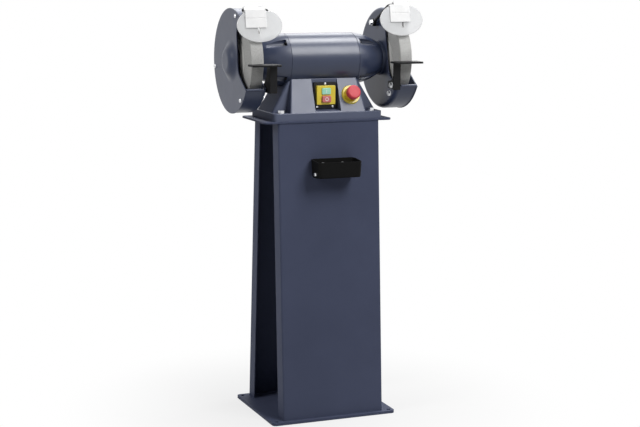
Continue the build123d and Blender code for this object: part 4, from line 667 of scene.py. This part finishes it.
def hexagon(flats, height):
    """Ring of SIDES points on a hexagon, given across its flats."""
    points = []
    for i in range(SIDES):
        turn = 2 * math.pi * i / SIDES
        corner = (turn + math.pi / 6) % (math.pi / 3) - math.pi / 6
        radius = flats / 2 / math.cos(corner)
        points.append((radius * math.cos(turn), radius * math.sin(turn), height))
    return points


def knurl(radius, height, kept):
    """Ring of points round the local Z axis, every other one drawn in to the kept share of the radius."""
    points = []
    for i, (x, y, z) in enumerate(circle(radius, height, THUMB_SIDES)):
        share = 1.0 if i % 2 else kept
        points.append((share * x, share * y, z))
    return points


def facing(axis):
    """Axes whose Z points along a direction."""
    return axis.to_track_quat("Z", "Y").to_matrix().to_4x4()


def skin(bm, rings, place, around=False):
    """Closed skin over rings of equal length, in the axes of place; around joins the last to the first."""
    loops = [[bm.verts.new(place @ Vector(point)) for point in ring] for ring in rings]
    pairs = list(zip(loops, loops[1:]))
    if around:
        pairs.append((loops[-1], loops[0]))
    for lower, upper in pairs:
        for i in range(len(lower)):
            after = (i + 1) % len(lower)
            bm.faces.new((lower[i], lower[after], upper[after], upper[i]))
    if not around:
        bm.faces.new(loops[0][::-1])
        bm.faces.new(loops[-1])


def add_piece(name, bm, slot, body):
    """Mesh object from bm, with its slot's material, riding on a body."""
    mesh = bpy.data.meshes.new(name)
    bmesh.ops.recalc_face_normals(bm, faces=bm.faces)
    for face in bm.faces:
        face.smooth = True
    bm.to_mesh(mesh)
    bm.free()
    mesh.set_sharp_from_angle(angle=math.radians(SHARP_DEG))
    mesh.materials.append(MATERIALS[slot])
    piece = bpy.data.objects.new(name, mesh)
    SCENE.collection.objects.link(piece)
    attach(piece, body)
    return piece


def groups(node, reach):
    """Points of a node in groups, each within reach of its group's first point."""
    found = []
    for vertex in NODES[node].data.vertices:
        for group in found:
            if (vertex.co - group[0]).length < reach:
                group.append(vertex.co.copy())
                break
        else:
            found.append([vertex.co.copy()])
    return found


def measure_screw(points, axis):
    """Axes at the head's seat, head radius and height, shank radius and length."""
    turn = facing(axis)
    local = [turn.inverted() @ point for point in points]
    middle = [(min(p[k] for p in local) + max(p[k] for p in local)) / 2 for k in (0, 1)]
    spans = [(math.hypot(p.x - middle[0], p.y - middle[1]), p.z) for p in local]
    head_r = max(r for r, z in spans)
    seat = min(z for r, z in spans if r > RIM_SHARE * head_r)
    top = max(z for r, z in spans)
    tip = min(z for r, z in spans)
    shank_r = max(r for r, z in spans if z < tip + TIP_HEIGHT)
    place = turn @ Matrix.Translation((*middle, seat))
    return place, head_r, top - seat, shank_r, seat - tip


def shank_rings(radius, length, sides=SIDES):
    """Shank from its chamfered tip up to height 0."""
    return [
        circle(radius * TIP_R, -length, sides),
        circle(radius, -length + TIP_CHAMFER * radius, sides),
        circle(radius, 0, sides),
    ]


def socket_screw_rings(head_r, head_h, shank_r, shank_l):
    """Button head with a hexagon socket, its underside at height 0."""
    highlit_rim = RIM_H * head_h
    dome = []
    for degrees in DOME_DEG:
        turn = math.radians(degrees)
        radius = head_r * (FLAT_R + (1 - FLAT_R) * math.cos(turn))
        dome.append(circle(radius, highlit_rim + (head_h - highlit_rim) * math.sin(turn)))
    flats = SOCKET_FLATS * head_r
    return [
        *shank_rings(shank_r, shank_l),
        circle(head_r * FOOT_R, 0),
        circle(head_r, FOOT_H * head_h),
        *dome,
        hexagon(flats * SOCKET_MOUTH, head_h),
        hexagon(flats, head_h * SOCKET_TOP_H),
        hexagon(flats, head_h * SOCKET_FOOT_H),
        circle(flats * SOCKET_FLOOR_R, head_h * SOCKET_FLOOR_H),
    ]


def knurled_screw_rings(head_r, head_h, shank_r, shank_l):
    """Thumb head with a knurled edge, its underside at height 0."""
    head = [knurl(radius * head_r, height * head_h, kept) for kept, radius, height in THUMB_HEAD]
    return shank_rings(shank_r, shank_l, THUMB_SIDES) + head


def add_screws(node, axis_of, rings_of, reach, slot=None):
    """Detailed screws in the place of a node's plain ones, in its slot's finish or another."""
    bm = bmesh.new()
    for points in groups(node, reach):
        place, *sizes = measure_screw(points, axis_of(points))
        skin(bm, rings_of(*sizes), place)
    piece = add_piece(node + "_detail", bm, slot or SLOTS[node], NODES[node]["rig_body"])
    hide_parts(node)


def long_axis(points):
    """Direction in which a screw's points spread most, pointing up, found step by step."""
    middle = sum(points, Vector()) / len(points)
    spread = [point - middle for point in points]
    axis = max(spread, key=lambda away: away.length)
    for _ in range(AXIS_STEPS):
        axis = sum((away * away.dot(axis) for away in spread), Vector()).normalized()
    return axis if axis.z > 0 else -axis


def outwards(points):
    """Along the spindle, away from the machine's middle."""
    return Vector((math.copysign(1.0, points[0].x), 0, 0))


def forwards(points):
    """Towards the front, wherever the points lie."""
    return FORWARD


def bar_rings(half):
    """Raised bar, from inside the button's face up."""
    wide = BAR_HALF_WIDTH * half
    tall = BAR_HALF_LENGTH * half
    corners = ((-wide, -tall), (wide, -tall), (wide, tall), (-wide, tall))
    rings = []
    for height, width, length in BAR_PROFILE:
        rings.append([(x * width, y * length, height * MARK_PROUD) for x, y in corners])
    return rings


def ring_rings(half):
    """Raised ring, from inside the button's face up and back down."""
    return [circle(radius * half, height * MARK_PROUD) for height, radius in RING_PROFILE]


def add_switch_marks():
    """Raised bar on the start button and ring on the stop button."""
    for node in ("start_button", "stop_button"):
        low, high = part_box(node)
        half = (high.z - low.z) / 2
        middle = Matrix.Translation(((low.x + high.x) / 2, low.y, (low.z + high.z) / 2))
        face = middle @ facing(FORWARD)
        bm = bmesh.new()
        if node == "start_button":
            skin(bm, bar_rings(half), face)
        else:
            skin(bm, ring_rings(half), face, around=True)
        add_piece(node + "_mark", bm, "white_plastic", node)


def arrow_rings(radius, start_deg):
    """Cross-sections of a raised arrow bent round the local Z axis."""
    shaft = tuple((degrees, ARROW_SHAFT_HALF) for degrees in ARROW_SHAFT_DEG)
    rings = []
    for degrees, half_width in shaft + ARROW_HEAD:
        turn = math.radians(start_deg + degrees)
        ring = []
        for across, side in ((-1, -1), (1, -1), (1, 1), (-1, 1)):
            reach = radius + across * half_width
            ring.append((reach * math.cos(turn), reach * math.sin(turn), side * ARROW_PROUD))
        rings.append(ring)
    return rings


def add_twist_arrows():
    """Three raised arrows on the emergency stop's face, the way that it twists."""
    joint = next(j for j in frame["record"]["behaviour"]["joints"] if j["name"] == "estop_twist")
    axis = Vector(joint["axis"])
    foot = Vector(joint["pos_m"])
    away = [vertex.co - foot for vertex in NODES["estop_button"].data.vertices]
    top = max(point.dot(axis) for point in away)
    cap_r = max((point - axis * point.dot(axis)).length for point in away)
    face = Matrix.Translation(foot + axis * top) @ facing(axis)
    bm = bmesh.new()
    for start_deg in ARROW_STARTS_DEG:
        skin(bm, arrow_rings(ARROW_CIRCLE * cap_r, start_deg), face)
    add_piece("estop_arrows", bm, "red_plastic", "estop_button")


def inner_foot(node, inward):
    """Half length of a panel's flat foot, the Y of its inner face and the height that it stands on."""
    points = [vertex.co for vertex in NODES[node].data.vertices]
    floor = min(point.z for point in points)
    half = max(point.x for point in points) - WELD_CORNER
    foot = [point for point in points if point.z < floor + FOOT_TOLERANCE]
    web = [point.y for point in foot if abs(point.x) < half + FOOT_TOLERANCE]
    inner = max(web) if inward > 0 else min(web)
    return half, inner, floor


def add_welds():
    """Rippled weld beads where the panels stand on the base plate, on their inner sides."""
    for node, inward in (("front_panel", 1), ("rear_panel", -1)):
        half, inner, floor = inner_foot(node, inward)
        place = Matrix.Translation((-half, inner, floor)) @ Matrix.Rotation(math.radians(90), 4, "Y")
        count = WELD_RIPPLE_RINGS * round(2 * half / WELD_RIPPLE)
        rings = []
        for i in range(count + 1):
            swell = 1.0 + WELD_SWELL * math.sin(2 * math.pi * i / WELD_RIPPLE_RINGS)
            rings.append(circle(WELD_R * swell, 2 * half * i / count, WELD_SIDES))
        bm = bmesh.new()
        skin(bm, rings, place)
        add_piece(node + "_weld", bm, "stand_paint", "stand")


def add_details():
    """Pieces that the solids leave plain."""
    add_screws("cover_screws", outwards, socket_screw_rings, SCREW_REACH)
    add_screws("bell_screws", outwards, socket_screw_rings, SCREW_REACH, slot="black_steel")
    add_screws("switch_screws", forwards, socket_screw_rings, SMALL_SCREW_REACH)
    add_screws("left_thumbscrews", long_axis, knurled_screw_rings, SMALL_SCREW_REACH)
    add_screws("right_thumbscrews", long_axis, knurled_screw_rings, SMALL_SCREW_REACH)
    add_switch_marks()
    add_twist_arrows()
    add_welds()


add_camera()
add_floor()
add_surroundings()
add_lamps()
dress_nodes()
add_details()
